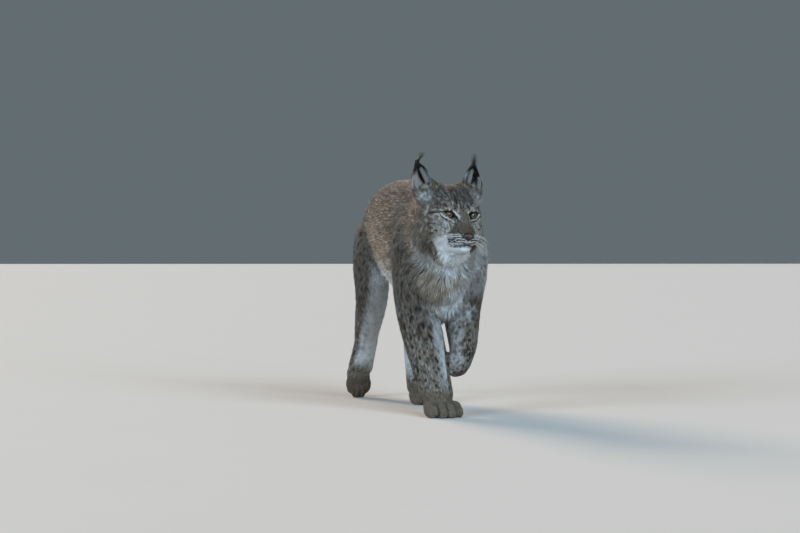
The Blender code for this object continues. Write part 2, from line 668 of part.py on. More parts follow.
def grown(obj, distance, collection):
    """A copy whose surface lies this much further out."""
    points = [v.co + v.normal * distance for v in obj.data.vertices]
    faces = [list(face.vertices) for face in obj.data.polygons]
    return mesh_object("grown", [(points, faces)], collection)


def groove(rows, radius):
    """A thin round channel along a line of points, to be cut out."""
    return loft([(*row, radius, radius, 2.0) for row in rows], 3, 6, (0.02, 0.2, 1))


def eye_opening(frame, side):
    """The almond between the lids, as a prism running forward from inside the eyeball."""
    wide, high = EYE_OPENING
    slant = Matrix.Rotation(math.radians(EYE_SLANT), 2)
    count = 16
    rim = []
    for k in range(count):
        angle = 2 * math.pi * k / count
        up = high * math.sin(angle) * (abs(math.sin(angle)) ** EYE_CORNERS)
        rim.append(slant @ Vector((wide * math.cos(angle), up)))
    points = []
    for depth in EYE_DEPTHS:
        for across, up in rim:
            outward = EYE_PLACE.x + across - depth * EYE_OUTWARD
            points.append(frame @ Vector((outward * side, EYE_PLACE.y + depth, EYE_PLACE.z + up)))
    faces = [[k, (k + 1) % count, count + (k + 1) % count, count + k] for k in range(count)]
    faces.append(list(range(count)))
    faces.append([count + k for k in reversed(range(count))])
    return points, faces


def lock(tree, root, way, length, width, stand_off):
    """A flat tapered lock: it starts under the skin, follows it and lifts a little at its tip."""
    steps = len(LOCK_SHARES)
    spot, normal, _, _ = tree.find_nearest(root)
    way = Vector(way).normalized()
    way = (way - normal * way.dot(normal) * 0.8).normalized()
    rows = []
    for i in range(steps + 1):
        t = i / steps
        height = (stand_off + LOCK_RISE) * min(1.0, t * 2.0) + stand_off * t * t - LOCK_ROOT_DEPTH
        near, near_normal, _, distance = tree.find_nearest(spot)
        if distance < LOCK_HOLD:
            normal = (normal + near_normal).normalized()
            rows.append((near + normal * height, way.copy(), normal.copy()))
        else:
            rows.append((spot + normal * height * 0.4, way.copy(), normal.copy()))
        way = (way + Vector((0, 0, -LOCK_DROOP / steps))).normalized()
        spot = spot + way * length / steps
    points = []
    for (place, ahead, up), share in zip(rows, LOCK_SHARES):
        side = ahead.cross(up).normalized() * width / 2 * share
        high = up * LOCK_THICKNESS / 2 * (0.5 + 0.5 * share)
        points += [place + side - high * 0.6, place + high, place - side - high * 0.6, place - high]
    points.append(rows[-1][0])
    faces = [[3, 2, 1, 0]]
    for ring in range(steps - 1):
        for k in range(4):
            first = ring * 4 + k
            second = ring * 4 + (k + 1) % 4
            faces.append([first, second, second + 4, first + 4])
    last = (steps - 1) * 4
    for k in range(4):
        faces.append([last + k, last + (k + 1) % 4, len(points) - 1])
    return points, faces


def join_locks(node, shapes):
    """Fuses closed locks into their node with one union."""
    locks = bpy.data.collections.new("locks")
    bpy.context.scene.collection.children.link(locks)
    for number, shape in enumerate(shapes):
        face_outward(mesh_object(f"lock_{number}", [shape], locks))
    union = node.modifiers.new("union", "BOOLEAN")
    union.operation = "UNION"
    union.operand_type = "COLLECTION"
    union.solver = "MANIFOLD"
    union.collection = locks
    apply_modifiers(node)
    for piece in list(locks.objects):
        bpy.data.objects.remove(piece, do_unlink=True)
    bpy.data.collections.remove(locks)


def tree_of(obj):
    return BVHTree.FromPolygons(
        [vertex.co for vertex in obj.data.vertices], [list(face.vertices) for face in obj.data.polygons]
    )


def ear_lock(frame, tip, way, length):
    """One stiff lock of an ear's tuft, rooted inside the ear's tip."""
    ahead = frame.to_3x3() @ Vector(way).normalized()
    side_way = frame.to_3x3() @ Vector((1, 0.2, 0))
    start = tip - ahead * EAR_TUFT_ROOT
    half_width, half_depth = EAR_TUFT_HALVES
    rows = []
    for t, share in EAR_TUFT_SHARES:
        bend = Vector((0, 0, EAR_TUFT_BEND * length * t * t))
        centre = start + ahead * (length + EAR_TUFT_ROOT) * t + bend
        rows.append((*centre, half_width * share, half_depth * share, 2.0))
    return loft(rows, 1, 5, side_way)


def add_ears(nodes, collection):
    """The ears, cupped to the front, with the locks of their tufts."""
    frame = head_frame()
    for side, name in ((1, "left"), (-1, "right")):
        foot = Matrix.Translation(EAR_FOOT)
        lean = foot @ Matrix.Rotation(math.radians(EAR_LEAN[name]), 4, "Y") @ foot.inverted()
        place = frame @ Matrix.Diagonal((side, 1, 1, 1)) @ lean
        pinna = moved(loft(EAR, 2, 14, EAR_FACING), place)
        hollow = moved(loft(EAR_HOLLOW, 2, 10, EAR_FACING), place)
        ear = mesh_object("ear_" + name, [pinna], collection)
        face_outward(ear)
        cut_away(ear, [hollow], collection)
        tip = place @ EAR_TIP
        join_locks(ear, [ear_lock(frame, tip, way, length) for way, length in EAR_TUFTS[name]])
        combine(ear, grown(nodes["head"], GAP, collection), "DIFFERENCE")
        nodes["ear_" + name] = keep_largest(ear, collection)


def add_ruff(nodes, collection):
    """The locks of the ruff and the beard, in tiers that overlap along the lie of the coat."""
    frame = head_frame()
    rng = random.Random(RUFF_SEED)
    head = nodes["head"]
    tree = tree_of(head)
    rows = list(BEARD)
    for spot, way, length, width, stand_off in RUFF:
        rows.append((spot, way, length, width, stand_off))
        rows.append(((-spot[0], *spot[1:]), (-way[0], *way[1:]), length, width, stand_off))
    shapes = []
    turn, shift = RUFF_SHAKE
    for spot, way, length, width, stand_off in rows:
        shaken = Vector(way) + Vector([rng.uniform(-turn, turn) for _ in range(3)])
        root = frame @ (Vector(spot) + Vector([rng.uniform(-shift, shift) for _ in range(3)]))
        ahead = frame.to_3x3() @ shaken
        reach = length * rng.uniform(*RUFF_LENGTHS)
        shapes.append(lock(tree, root, ahead, reach, width * rng.uniform(*RUFF_WIDTHS), stand_off))
    join_locks(head, shapes)
    for other in ("neck", "torso", "foreleg_left", "foreleg_right"):
        combine(head, grown(nodes[other], GAP, collection), "DIFFERENCE")
    for name in ("ear_left", "ear_right"):
        combine(head, grown(nodes[name], GAP, collection), "DIFFERENCE")
    nodes["head"] = keep_largest(head, collection)


def add_face(nodes, collection):
    """Opens the lids, the mouth and the nostrils of the head, and adds the eyes."""
    frame = head_frame()
    head = nodes["head"]
    for side, name in ((1, "left"), (-1, "right")):
        middle = (EYE_PLACE.x * side, EYE_PLACE.y, EYE_PLACE.z)
        socket = EYE_RADIUS + GAP
        cut_away(head, [ellipsoid(middle, [socket] * 3, frame, 90, 18)], collection)
        cut_away(head, [eye_opening(frame, side)], collection)
        ball = ellipsoid(middle, [EYE_RADIUS] * 3, frame, 90, 14)
        nodes["eye_" + name] = mesh_object("eye_" + name, [ball], collection)
        nostril = (NOSTRIL[0][0] * side, *NOSTRIL[0][1:])
        cut_away(head, [ellipsoid(nostril, NOSTRIL[1], frame, 0, 8)], collection)
    cut_away(head, [moved(groove(MOUTH, MOUTH_RADIUS), frame)], collection)
    cut_away(head, [moved(groove(PHILTRUM, MOUTH_RADIUS), frame)], collection)


def paint(nodes):
    for name, node in nodes.items():
        colour, roughness = FINISHES[name]
        node.data.materials.clear()
        node.data.materials.append(make_material(name, colour, roughness))
        for face in node.data.polygons:
            face.material_index = 0
        node.data.shade_smooth()
        node.data.set_sharp_from_angle(angle=math.radians(EDGE_ANGLE))


def centre_on_origin(nodes):
    """Moves everything so that the origin is the middle of the bounding box at the floor."""
    points = [vertex.co for node in nodes.values() for vertex in node.data.vertices]
    middle = [(min(p[k] for p in points) + max(p[k] for p in points)) / 2 for k in (0, 1)]
    shift = Matrix.Translation((-middle[0], -middle[1], 0))
    for node in nodes.values():
        node.data.transform(shift)


def main():
    clear_scene()
    parts = add_collection("eurasian_lynx")
    nodes = flesh_nodes(parts)
    add_ears(nodes, parts)
    add_ruff(nodes, parts)
    add_face(nodes, parts)
    paint(nodes)
    centre_on_origin(nodes)


main()
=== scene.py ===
# A Eurasian lynx in its winter coat: skin, fur, eyes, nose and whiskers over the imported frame
import json
import math

import bmesh
import bpy
import numpy as np
from mathutils import Matrix, Vector
from mathutils.bvhtree import BVHTree
from mathutils.kdtree import KDTree

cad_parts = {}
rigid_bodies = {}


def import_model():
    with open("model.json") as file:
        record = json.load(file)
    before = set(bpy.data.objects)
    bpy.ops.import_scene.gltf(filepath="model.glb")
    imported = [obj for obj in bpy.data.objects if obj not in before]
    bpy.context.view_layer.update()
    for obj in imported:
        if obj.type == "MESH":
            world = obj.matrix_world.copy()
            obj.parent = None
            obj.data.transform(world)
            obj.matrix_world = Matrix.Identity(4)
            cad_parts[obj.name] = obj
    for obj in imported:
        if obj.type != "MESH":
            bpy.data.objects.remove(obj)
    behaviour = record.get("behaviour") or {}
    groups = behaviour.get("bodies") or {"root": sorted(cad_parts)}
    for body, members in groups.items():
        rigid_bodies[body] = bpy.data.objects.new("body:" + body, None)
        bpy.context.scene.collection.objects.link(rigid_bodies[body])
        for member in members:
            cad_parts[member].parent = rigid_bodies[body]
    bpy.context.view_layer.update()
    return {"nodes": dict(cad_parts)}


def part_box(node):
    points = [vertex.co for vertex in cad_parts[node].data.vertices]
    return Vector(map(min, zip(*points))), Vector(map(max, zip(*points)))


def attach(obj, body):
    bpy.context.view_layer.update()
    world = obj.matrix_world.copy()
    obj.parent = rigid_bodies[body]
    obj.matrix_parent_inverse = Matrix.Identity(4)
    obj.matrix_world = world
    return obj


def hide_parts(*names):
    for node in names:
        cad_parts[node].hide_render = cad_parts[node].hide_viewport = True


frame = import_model()
scene = bpy.context.scene
bodyName = "root"
print("frame loaded")


# Small helpers

def linear(hexText):
    values = np.array([int(hexText[i:i + 2], 16) for i in (1, 3, 5)]) / 255
    return np.where(values <= 0.04045, values / 12.92, ((values + 0.055) / 1.055) ** 2.4)


def rgba(hexText):
    return (*linear(hexText), 1.0)


def fade(value, start, end):
    t = np.clip((value - start) / (end - start), 0, 1)
    return t * t * (3 - 2 * t)


def mix(first, second, amount):
    amount = np.asarray(amount)[..., None]
    return first * (1 - amount) + second * amount


def metres(rows):
    # the tables of shapes are written in tenths of a millimetre
    return np.array(rows) / 10000


def unit(vectors):
    return vectors / np.maximum(np.linalg.norm(vectors, axis=-1, keepdims=True), 1e-9)


def waves(points, size, seed, count=7):
    # smooth seeded waves about size metres apart, roughly from -1 to 1
    source = np.random.default_rng(seed)
    total = np.zeros(len(points))
    for _ in range(count):
        way = source.normal(size=3)
        way *= 2 * math.pi / size / np.linalg.norm(way) * source.uniform(0.6, 1.6)
        total += np.sin(points @ way + source.uniform(0, 2 * math.pi))
    return total / math.sqrt(count) * 1.2


def addNode(tree, kind, settings=None, links=None):
    # one node, its values by name, and the sockets that feed it
    node = tree.nodes.new("ShaderNode" + kind)
    for key, value in (settings or {}).items():
        if isinstance(key, int) or key in node.inputs:
            node.inputs[key].default_value = value
        else:
            setattr(node, key, value)
    for key, source in (links or {}).items():
        tree.links.new(source, node.inputs[key])
    return node


def newMaterial(name, settings):
    material = bpy.data.materials.new(name)
    material.use_nodes = True
    tree = material.node_tree
    shader = tree.nodes["Principled BSDF"]
    for key, value in settings.items():
        shader.inputs[key].default_value = value
    return material, tree, shader


def newObject(name, mesh, material=None):
    obj = bpy.data.objects.new(name, mesh)
    scene.collection.objects.link(obj)
    if material:
        mesh.materials.clear()
        mesh.materials.append(material)
    return obj


def meshFrom(name, points, faces):
    mesh = bpy.data.meshes.new(name)
    mesh.from_pydata([tuple(p) for p in points], [], [list(face) for face in faces])
    mesh.update()
    return mesh


def joined(shapes):
    points, faces = [], []
    for shapePoints, shapeFaces in shapes:
        start = len(points)
        points += [tuple(p) for p in shapePoints]
        faces += [[start + k for k in face] for face in shapeFaces]
    return points, faces


def applied(obj):
    # bakes the object's modifiers into its mesh
    graph = bpy.context.evaluated_depsgraph_get()
    mesh = bpy.data.meshes.new_from_object(obj.evaluated_get(graph))
    old = obj.data
    obj.modifiers.clear()
    obj.data = mesh
    bpy.data.meshes.remove(old)
    return obj


def fused(name, shapes, voxel, rounds):
    # closed shapes that overlap become one smooth skin
    obj = newObject(name, meshFrom(name, *joined(shapes)))
    remesh = obj.modifiers.new("fuse", "REMESH")
    remesh.mode = "VOXEL"
    remesh.voxel_size = voxel
    smooth = obj.modifiers.new("smooth", "SMOOTH")
    smooth.iterations = rounds
    smooth.factor = 0.5
    return applied(obj)


def shapeOf(obj):
    return [v.co.copy() for v in obj.data.vertices], [list(f.vertices) for f in obj.data.polygons]


def pointsOf(mesh, kind="co"):
    values = np.empty(len(mesh.vertices) * 3)
    mesh.vertices.foreach_get(kind, values)
    return values.reshape(-1, 3)


def normalsOf(mesh):
    return pointsOf(mesh, "normal")


def setPoints(mesh, points):
    mesh.vertices.foreach_set("co", np.ascontiguousarray(points, dtype=float).ravel())
    mesh.update()


def curveThrough(rows, steps):
    # a smooth Catmull-Rom curve through rows of numbers
    rows = np.array(rows, float)
    padded = np.vstack([2 * rows[0] - rows[1], rows, 2 * rows[-1] - rows[-2]])
    made = []
    for i in range(1, len(padded) - 2):
        before, start, end, after = padded[i - 1:i + 3]
        for t in np.arange(steps) / steps:
            bend = (2 * before - 5 * start + 4 * end - after) * t ** 2
            twist = (3 * start - before - 3 * end + after) * t ** 3
            made.append(0.5 * (2 * start + (end - before) * t + bend + twist))
    made.append(rows[-1])
    return np.array(made)


def loft(rows, steps=3, sides=24, sideWay=(1, 0, 0)):
    # a closed limb through sections: x, y, z, half width along sideWay, half depth across it
    curve = curveThrough(rows, steps)
    centres = curve[:, :3]
    ways = np.gradient(centres, axis=0)
    points = []
    for centre, way, (halfWidth, halfDepth) in zip(centres, ways, curve[:, 3:5]):
        along = Vector(way).normalized()
        side = Vector(sideWay)
        side = (side - along * side.dot(along)).normalized()
        across = along.cross(side)
        for k in range(sides):
            angle = 2 * math.pi * k / sides
            offset = side * halfWidth * math.cos(angle)
            points.append(Vector(centre) + offset + across * halfDepth * math.sin(angle))
    faces = []
    for ring in range(len(centres) - 1):
        for k in range(sides):
            first = ring * sides + k
            second = ring * sides + (k + 1) % sides
            faces.append([first, second, second + sides, first + sides])
    last = (len(centres) - 1) * sides
    faces.append([k for k in reversed(range(sides))])
    faces.append([last + k for k in range(sides)])
    return points, faces


def tube(points, radii, sides, steps=3, sideWay=(0.13, 0.31, 0.94)):
    return loft([(*p, r, r) for p, r in zip(points, radii)], steps, sides, sideWay)


def ellipsoid(centre, sizes, matrix, tilt=0.0, around=28):
    turn = Matrix.Rotation(math.radians(tilt), 4, "X")
    placed = matrix @ Matrix.Translation(centre) @ turn @ Matrix.Diagonal((*sizes, 1.0))
    bm = bmesh.new()
    bmesh.ops.create_uvsphere(bm, u_segments=around, v_segments=around // 2, radius=1.0, matrix=placed)
    points = [v.co.copy() for v in bm.verts]
    bm.verts.index_update()
    faces = [[v.index for v in face.verts] for face in bm.faces]
    bm.free()
    return points, faces


def moved(shape, matrix):
    return [matrix @ Vector(p) for p in shape[0]], shape[1]


def faceOut(mesh):
    bm = bmesh.new()
    bm.from_mesh(mesh)
    bmesh.ops.remove_doubles(bm, verts=bm.verts, dist=1e-6)
    bmesh.ops.recalc_face_normals(bm, faces=bm.faces)
    bm.to_mesh(mesh)
    bm.free()


def carve(obj, cutters, operation="DIFFERENCE"):
    # one Boolean with a collection of closed cutters, which are then removed
    group = bpy.data.collections.new("cutters")
    scene.collection.children.link(group)
    for number, shape in enumerate(cutters):
        mesh = meshFrom("cutter", *shape)
        faceOut(mesh)
        group.objects.link(bpy.data.objects.new("cutter" + str(number), mesh))
    boolean = obj.modifiers.new("cut", "BOOLEAN")
    boolean.operation = operation
    boolean.operand_type = "COLLECTION"
    boolean.solver = "MANIFOLD"
    boolean.collection = group
    applied(obj)
    for cutter in list(group.objects):
        bpy.data.objects.remove(cutter)
    bpy.data.collections.remove(group)
    return obj


def keepLargest(mesh):
    # drops loose scraps
    count = len(mesh.vertices)
    edges = np.empty(len(mesh.edges) * 2, dtype=np.int64)
    mesh.edges.foreach_get("vertices", edges)
    edges = edges.reshape(-1, 2)
    label = np.arange(count)
    while True:
        low = np.minimum(label[edges[:, 0]], label[edges[:, 1]])
        before = label.copy()
        np.minimum.at(label, edges[:, 0], low)
        np.minimum.at(label, edges[:, 1], low)
        label = label[label]
        if np.array_equal(label, before):
            break
    best = np.bincount(label).argmax()
    if (label != best).any():
        bm = bmesh.new()
        bm.from_mesh(mesh)
        bm.verts.ensure_lookup_table()
        bmesh.ops.delete(bm, geom=[bm.verts[i] for i in np.flatnonzero(label != best)], context="VERTS")
        bm.to_mesh(mesh)
        bm.free()


# The head's own frame: from between the pupils, x to its left, y to the back, z up

def middleOf(node):
    low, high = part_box(node)
    return (Vector(low) + Vector(high)) / 2


headForm = {
    "eyePlace": Vector((0.0335, 0.0135, 0.0005)),
    "eyeRadius": 0.0150,
    "rim": metres([  # the lids' edge, across and up: outer corner, over the top, back below
        (124, 66), (66, 70), (0, 64), (-66, 45), (-108, 0),
        (-130, -52), (-80, -71), (-16, -70), (48, -41), (94, 14),
    ]),
    "skullFusing": (0.0030, 14),  # voxel and rounds of smoothing
    "headFusing": (0.0017, 4),
    "masses": [  # centre, half sizes, tilt, twin
        ((0, 800, 120), (710, 800, 710), 0, False),  # braincase
        ((0, 400, 220), (510, 440, 340), 0, False),  # forehead
        ((0, 1300, -40), (620, 440, 580), 0, False),  # nape
        ((0, -40, -510), (360, 340, 290), 0, False),  # muzzle
        ((0, -100, -180), (225, 172, 410), -24, False),  # bridge of the nose
        ((0, 300, -780), (400, 520, 260), 0, False),  # lower jaw
        ((400, 420, -360), (360, 480, 430), 0, True),  # cheek
        ((490, 500, 0), (260, 460, 320), 0, True),  # cheekbone
        ((580, 900, 200), (340, 420, 480), 0, True),  # temple
        ((570, 940, -380), (380, 440, 560), 0, True),  # base of the ruff
        ((0, 680, -800), (550, 620, 420), 0, False),  # throat
        ((600, 900, 540), (280, 240, 300), 0, True),  # base of the ear
    ],
    "forms": [
        ((290, 85, 185), (230, 140, 95), 0, True),  # brow
        ((0, -130, -200), (160, 110, 340), -24, False),  # ridge of the nose
        ((185, -180, -610), (200, 235, 150), 0, True),  # whisker pad
        ((120, -265, -690), (155, 130, 90), 0, True),  # upper lip
        ((0, -160, -870), (175, 175, 110), 0, False),  # chin
        ((335, 135, 5), (184, 180, 176), 0, True),  # lids, over the eyeball
        ((0, -370, -550), (135, 75, 95), 0, False),  # bed of the nose
        ((290, 840, 700), (200, 180, 170), 0, True),  # slope up to the ear
        ((470, 870, 765), (180, 160, 185), 0, True),  # foot of the ear's inner edge
    ],
    "mouth": metres([
        (-380, 60, -700), (-310, -130, -760), (-190, -320, -790),
        (-85, -390, -785), (0, -400, -755),
        (85, -390, -785), (190, -320, -790), (310, -130, -760), (380, 60, -700),
    ]),
    "philtrum": metres([(0, -450, -640), (0, -430, -690), (0, -400, -755)]),
}

noseForm = {
    "middle": (0.0, -0.0410, -0.0553),
    "sizes": (0.0158, 0.0066, 0.0106),
    "nostril": (0.0068, -0.0470, -0.0588),
    "comma": ((0.0, 0.0, 0.0), (0.0026, 0.0012, 0.0008), (0.0052, 0.0040, 0.0004)),  # its curve from there
    "commaRadii": (0.0022, 0.0018, 0.0008),
}

leftEye = middleOf("eye_left")
rightEye = middleOf("eye_right")
headAcross = (leftEye - rightEye).normalized()
headUp = (Vector((0, 0, 1)) - headAcross * headAcross.z).normalized()
headBack = headUp.cross(headAcross)
headTurn = Matrix((headAcross, headBack, headUp)).transposed()
place = headForm["eyePlace"]
headPlace = (leftEye + rightEye) / 2 - headTurn @ Vector((0, place.y, place.z))
headMatrix = Matrix.Translation(headPlace) @ headTurn.to_4x4()
headInverse = np.array(headMatrix.inverted())
headTurnArray = np.array(headTurn)


def toHead(points):
    return points @ headInverse[:3, :3].T + headInverse[:3, 3]


def inHead(spots):
    return [headMatrix @ Vector(spot) for spot in spots]


def folded(local):
    # both halves of the head laid over its left half
    half = local.copy()
    half[:, 0] = np.abs(half[:, 0])
    return half


def headBlobs(rows):
    # ellipsoids, each with a twin on the right where its row asks for one
    shapes = []
    for centre, sizes, tilt, twin in rows:
        x, y, z = metres(centre)
        for side in ((1, -1) if twin else (1,)):
            shapes.append(ellipsoid((x * side, y, z), metres(sizes), headMatrix, tilt))
    return shapes


# Ears: the left one's outline and the hollow in it, in the head's frame

earForm = {
    "outline": metres([
        (650, 880, 400, 260, 200), (690, 870, 600, 310, 200),
        (715, 870, 820, 315, 180), (735, 890, 1010, 270, 150),
        (765, 910, 1180, 185, 110), (800, 930, 1320, 95, 70),
        (830, 940, 1430, 30, 34),
    ]),
    "hollow": metres([
        (700, 780, 660, 140, 120), (710, 800, 740, 245, 185),
        (720, 810, 870, 265, 190), (735, 830, 1010, 222, 168),
        (760, 850, 1160, 142, 135), (790, 870, 1290, 60, 100),
    ]),
    "facing": (0.985, 0.17, 0),  # the way the ear's width runs
    "lean": {1: -3.0, -1: 4.0},  # degrees outwards, left and right
    "foot": (0.066, 0.088, 0.055),
    "tip": Vector((0.0815, 0.0935, 0.136)),
}


def earMatrix(side):
    foot = Matrix.Translation(earForm["foot"])
    lean = foot @ Matrix.Rotation(math.radians(earForm["lean"][side]), 4, "Y") @ foot.inverted()
    return headMatrix @ Matrix.Diagonal((side, 1, 1, 1)) @ lean


def earShape(side):
    matrix = earMatrix(side)
    outline = moved(loft(earForm["outline"], 3, 28, earForm["facing"]), matrix)
    hollow = moved(loft(earForm["hollow"], 3, 24, earForm["facing"]), matrix)
    mesh = meshFrom("ear", *outline)
    faceOut(mesh)
    ear = newObject("ear", mesh)
    carve(ear, [hollow])
    shape = shapeOf(ear)
    bpy.data.objects.remove(ear)
    return shape


def eyeRim(side, grow=0.0):
    # the almond between the lids, as offsets from the eye's middle in the head's frame
    rows, steps = headForm["rim"], 5
    curve = curveThrough([*rows[-2:], *rows, *rows[:2]], steps)[2 * steps:(2 + len(rows)) * steps]
    curve += unit(curve) * grow
    return [(across * side, up) for across, up in curve]


def lidReach(across, up, grow=0.0):
    # how far the opening reaches from the eye's middle in each direction, for the left eye
    rim = np.array(eyeRim(1, grow))
    turns = np.arctan2(rim[:, 1], rim[:, 0])
    order = np.argsort(turns)
    reach = np.linalg.norm(rim, axis=1)
    return np.interp(np.arctan2(up, across), turns[order], reach[order], period=2 * math.pi)


def eyeCutter(side):
    points = []
    rim = eyeRim(side)
    for depth in (0.004, -0.030):
        for across, up in rim:
            spot = Vector((place.x * side + across - depth * 0.2 * side, place.y + depth, place.z + up))
            points.append(headMatrix @ spot)
    count = len(rim)
    faces = [[k, (k + 1) % count, count + (k + 1) % count, count + k] for k in range(count)]
    faces.append(list(range(count)))
    faces.append([count + k for k in reversed(range(count))])
    return points, faces


def headSkin():
    skull = fused("skull", headBlobs(headForm["masses"]), *headForm["skullFusing"])
    shapes = [shapeOf(skull), earShape(1), earShape(-1), *headBlobs(headForm["forms"])]
    bpy.data.objects.remove(skull)
    head = fused("headSkin", shapes, *headForm["headFusing"])
    keepLargest(head.data)
    # the fur of the face is short, so its skin lies only a little under the outline
    points = pointsOf(head.data)
    local = toHead(points)
    ruff = fade(local[:, 1], 0.03, 0.09) * fade(local[:, 2], 0.06, 0.01)
    ear = fade(local[:, 2], 0.055, 0.085)
    depth = 0.0022 + 0.0040 * ruff
    depth = depth * (1 - ear) + 0.0006 * ear
    nose = np.linalg.norm((local - (0, -0.037, -0.055)) / (0.02, 0.012, 0.014), axis=1)
    depth *= fade(nose, 0.7, 1.4)
    eye = np.linalg.norm(folded(local) - np.array(place), axis=1)
    depth *= 0.40 + 0.60 * fade(eye, 0.019, 0.028)
    setPoints(head.data, points - normalsOf(head.data) * depth[:, None])
    cutters = []
    for side in (1, -1):
        middle = (place.x * side, place.y, place.z)
        cutters.append(ellipsoid(middle, [headForm["eyeRadius"] + 0.0003] * 3, headMatrix, 90, 48))
        cutters.append(eyeCutter(side))
    cutters.append(tube(inHead(headForm["mouth"]), metres([4, 16, 20, 20, 19, 20, 20, 16, 4]), 8))
    cutters.append(tube(inHead(headForm["philtrum"]), metres([9, 9, 9]), 8))
    for cutter in cutters:
        carve(head, [cutter])
    return head


# The body's skin follows the solids of the body, set in by the depth of its coat.
# Each path runs the way the hair lies: x, y, z, reach and the hair's length there.

coat = {
    "trunk": metres([
        (-100, -3000, 4550, 1000, 340), (-20, -1600, 4750, 1300, 300),
        (0, 250, 4900, 1300, 280), (0, 2050, 5120, 1150, 280),
        (0, 3450, 5220, 800, 300), (0, 4300, 5150, 400, 340),
    ]),
    "neck": metres([
        (-330, -4000, 5300, 600, 300), (-180, -2850, 4950, 900, 360),
        (-40, -1700, 4900, 900, 320),
    ]),
    "breast": metres([
        (-270, -3850, 4700, 600, 420), (-140, -3300, 3950, 700, 420),
        (0, -2300, 3150, 500, 340),
    ]),
    "forelegRight": metres([
        (-620, -1450, 5200, 600, 149), (-780, -1920, 4300, 700, 138),
        (-710, -1870, 3450, 600, 117), (-590, -1900, 2850, 500, 101),
        (-480, -2100, 2200, 500, 90), (-380, -2320, 1550, 500, 75),
        (-310, -2520, 1000, 450, 64), (-230, -2690, 550, 400, 53),
        (-210, -3000, 300, 350, 47), (-220, -3500, 120, 300, 42),
    ]),
    "forelegLeft": metres([
        (620, -1400, 5200, 600, 149), (880, -1920, 4300, 700, 138),
        (850, -1770, 3450, 600, 117), (770, -1700, 2900, 500, 101),
        (710, -1930, 2350, 450, 90), (620, -2250, 1750, 400, 75),
        (500, -2450, 1400, 300, 64), (470, -2250, 1260, 280, 53),
        (500, -1800, 1210, 280, 48), (540, -1200, 1100, 250, 42),
    ]),
    "hindlegRight": metres([
        (-450, 2900, 5200, 700, 160), (-570, 2810, 4100, 900, 149),
        (-550, 2810, 3450, 800, 138), (-490, 3110, 2900, 600, 117),
        (-420, 3630, 2400, 450, 90), (-360, 4070, 2020, 400, 75),
        (-340, 4330, 1600, 350, 64), (-390, 4510, 1150, 350, 53),
        (-440, 4630, 800, 300, 48), (-460, 4750, 150, 300, 42),
    ]),
    "hindlegLeft": metres([
        (500, 2750, 5200, 700, 160), (690, 2350, 4100, 900, 149),
        (740, 2070, 3500, 800, 138), (760, 2170, 2950, 600, 117),
        (760, 2510, 2450, 450, 90), (750, 2790, 2000, 400, 75),
        (740, 2810, 1500, 350, 64), (710, 2530, 1000, 350, 53),
        (680, 2210, 600, 350, 48), (680, 1750, 250, 300, 47),
        (690, 1150, 120, 300, 42),
    ]),
    "tail": metres([
        (0, 3900, 5560, 300, 340), (0, 4370, 5350, 300, 360),
        (10, 4690, 5000, 280, 360), (30, 4870, 4520, 270, 360),
        (40, 4950, 4040, 260, 340), (40, 4970, 3600, 200, 300),
    ]),
}
limbNames = list(coat)
skinShare = 0.30  # the skin lies this share of the hair's length under the outline
bodyNodes = ["torso", "neck", "tail", "foreleg_left", "foreleg_right", "hindleg_left", "hindleg_right",
             "forepaw_left", "forepaw_right", "hindpaw_left", "hindpaw_right"]


def coatMap(points):
    # at each point: the way the hair lies, its length, the limb it belongs to and how far along it
    ways = np.zeros((len(points), 3))
    lengths = np.zeros(len(points))
    total = np.zeros(len(points))
    best = np.zeros(len(points))
    limb = np.zeros(len(points), dtype=int)
    along = np.zeros(len(points))
    for index, name in enumerate(limbNames):
        rows = np.array(coat[name])
        for number in range(len(rows) - 1):
            start, end = rows[number], rows[number + 1]
            way = end[:3] - start[:3]
            t = np.clip((points - start[:3]) @ way / (way @ way), 0, 1)
            gap = np.linalg.norm(points - start[:3] - t[:, None] * way, axis=1)
            reach = start[3] + (end[3] - start[3]) * t
            weight = (reach / np.maximum(gap, 0.004)) ** 5
            ways += unit(way) * weight[:, None]
            lengths += (start[4] + (end[4] - start[4]) * t) * weight
            total += weight
            nearer = weight > best
            best[nearer] = weight[nearer]
            limb[nearer] = index
            along[nearer] = (number + t[nearer]) / (len(rows) - 1)
    return unit(ways), lengths / total, limb, along


# Paws in their own frames, with the toes to -y and the sole in z = 0: the sole's middle, yaw and
# pitch in degrees, the scale and the toes' spread

paws = {
    "forepawRight": ((-0.0218, -0.2902, -0.0030), (2, 0), 1.00, 1.00),
    "hindpawLeft": ((0.0677, 0.1628, -0.0030), (4, 0), 0.92, 1.00),
    "forepawLeft": ((0.0547, -0.1772, 0.0990), (180, 0), 0.78, 0.85),
    "hindpawRight": ((-0.0463, 0.4918, 0.0530), (0, 80), 0.88, 0.80),
}


def pawMatrix(name):
    middle, (yaw, pitch), scale, _ = paws[name]
    turn = Matrix.Rotation(math.radians(yaw), 4, "Z") @ Matrix.Rotation(math.radians(pitch), 4, "X")
    return Matrix.Translation(middle) @ turn @ Matrix.Scale(scale, 4)


def pawPlaces(points, name):
    inverse = np.array(pawMatrix(name).inverted())
    return points @ inverse[:3, :3].T + inverse[:3, 3]


def toeGaps(points):
    # 1 in the clefts between the toes, where painted shade goes, and how much each point belongs to a paw
    cleftShade = np.zeros(len(points))
    share = np.zeros(len(points))
    for name in paws:
        x, y, z = pawPlaces(points, name).T
        near = fade(np.abs(x), 0.066, 0.056) * fade(y, 0.062, 0.040) * fade(y, -0.090, -0.075)
        near *= fade(z, 0.075, 0.060) * fade(z, -0.020, -0.010)
        share = np.maximum(share, near)
        for middle in (-0.0244, 0.0, 0.0244):
            cleft = np.abs(x - middle * paws[name][3])
            cleftShade = np.maximum(cleftShade, near * fade(cleft, 0.0032, 0.0006) * fade(y, -0.030, -0.050))
    return cleftShade, share


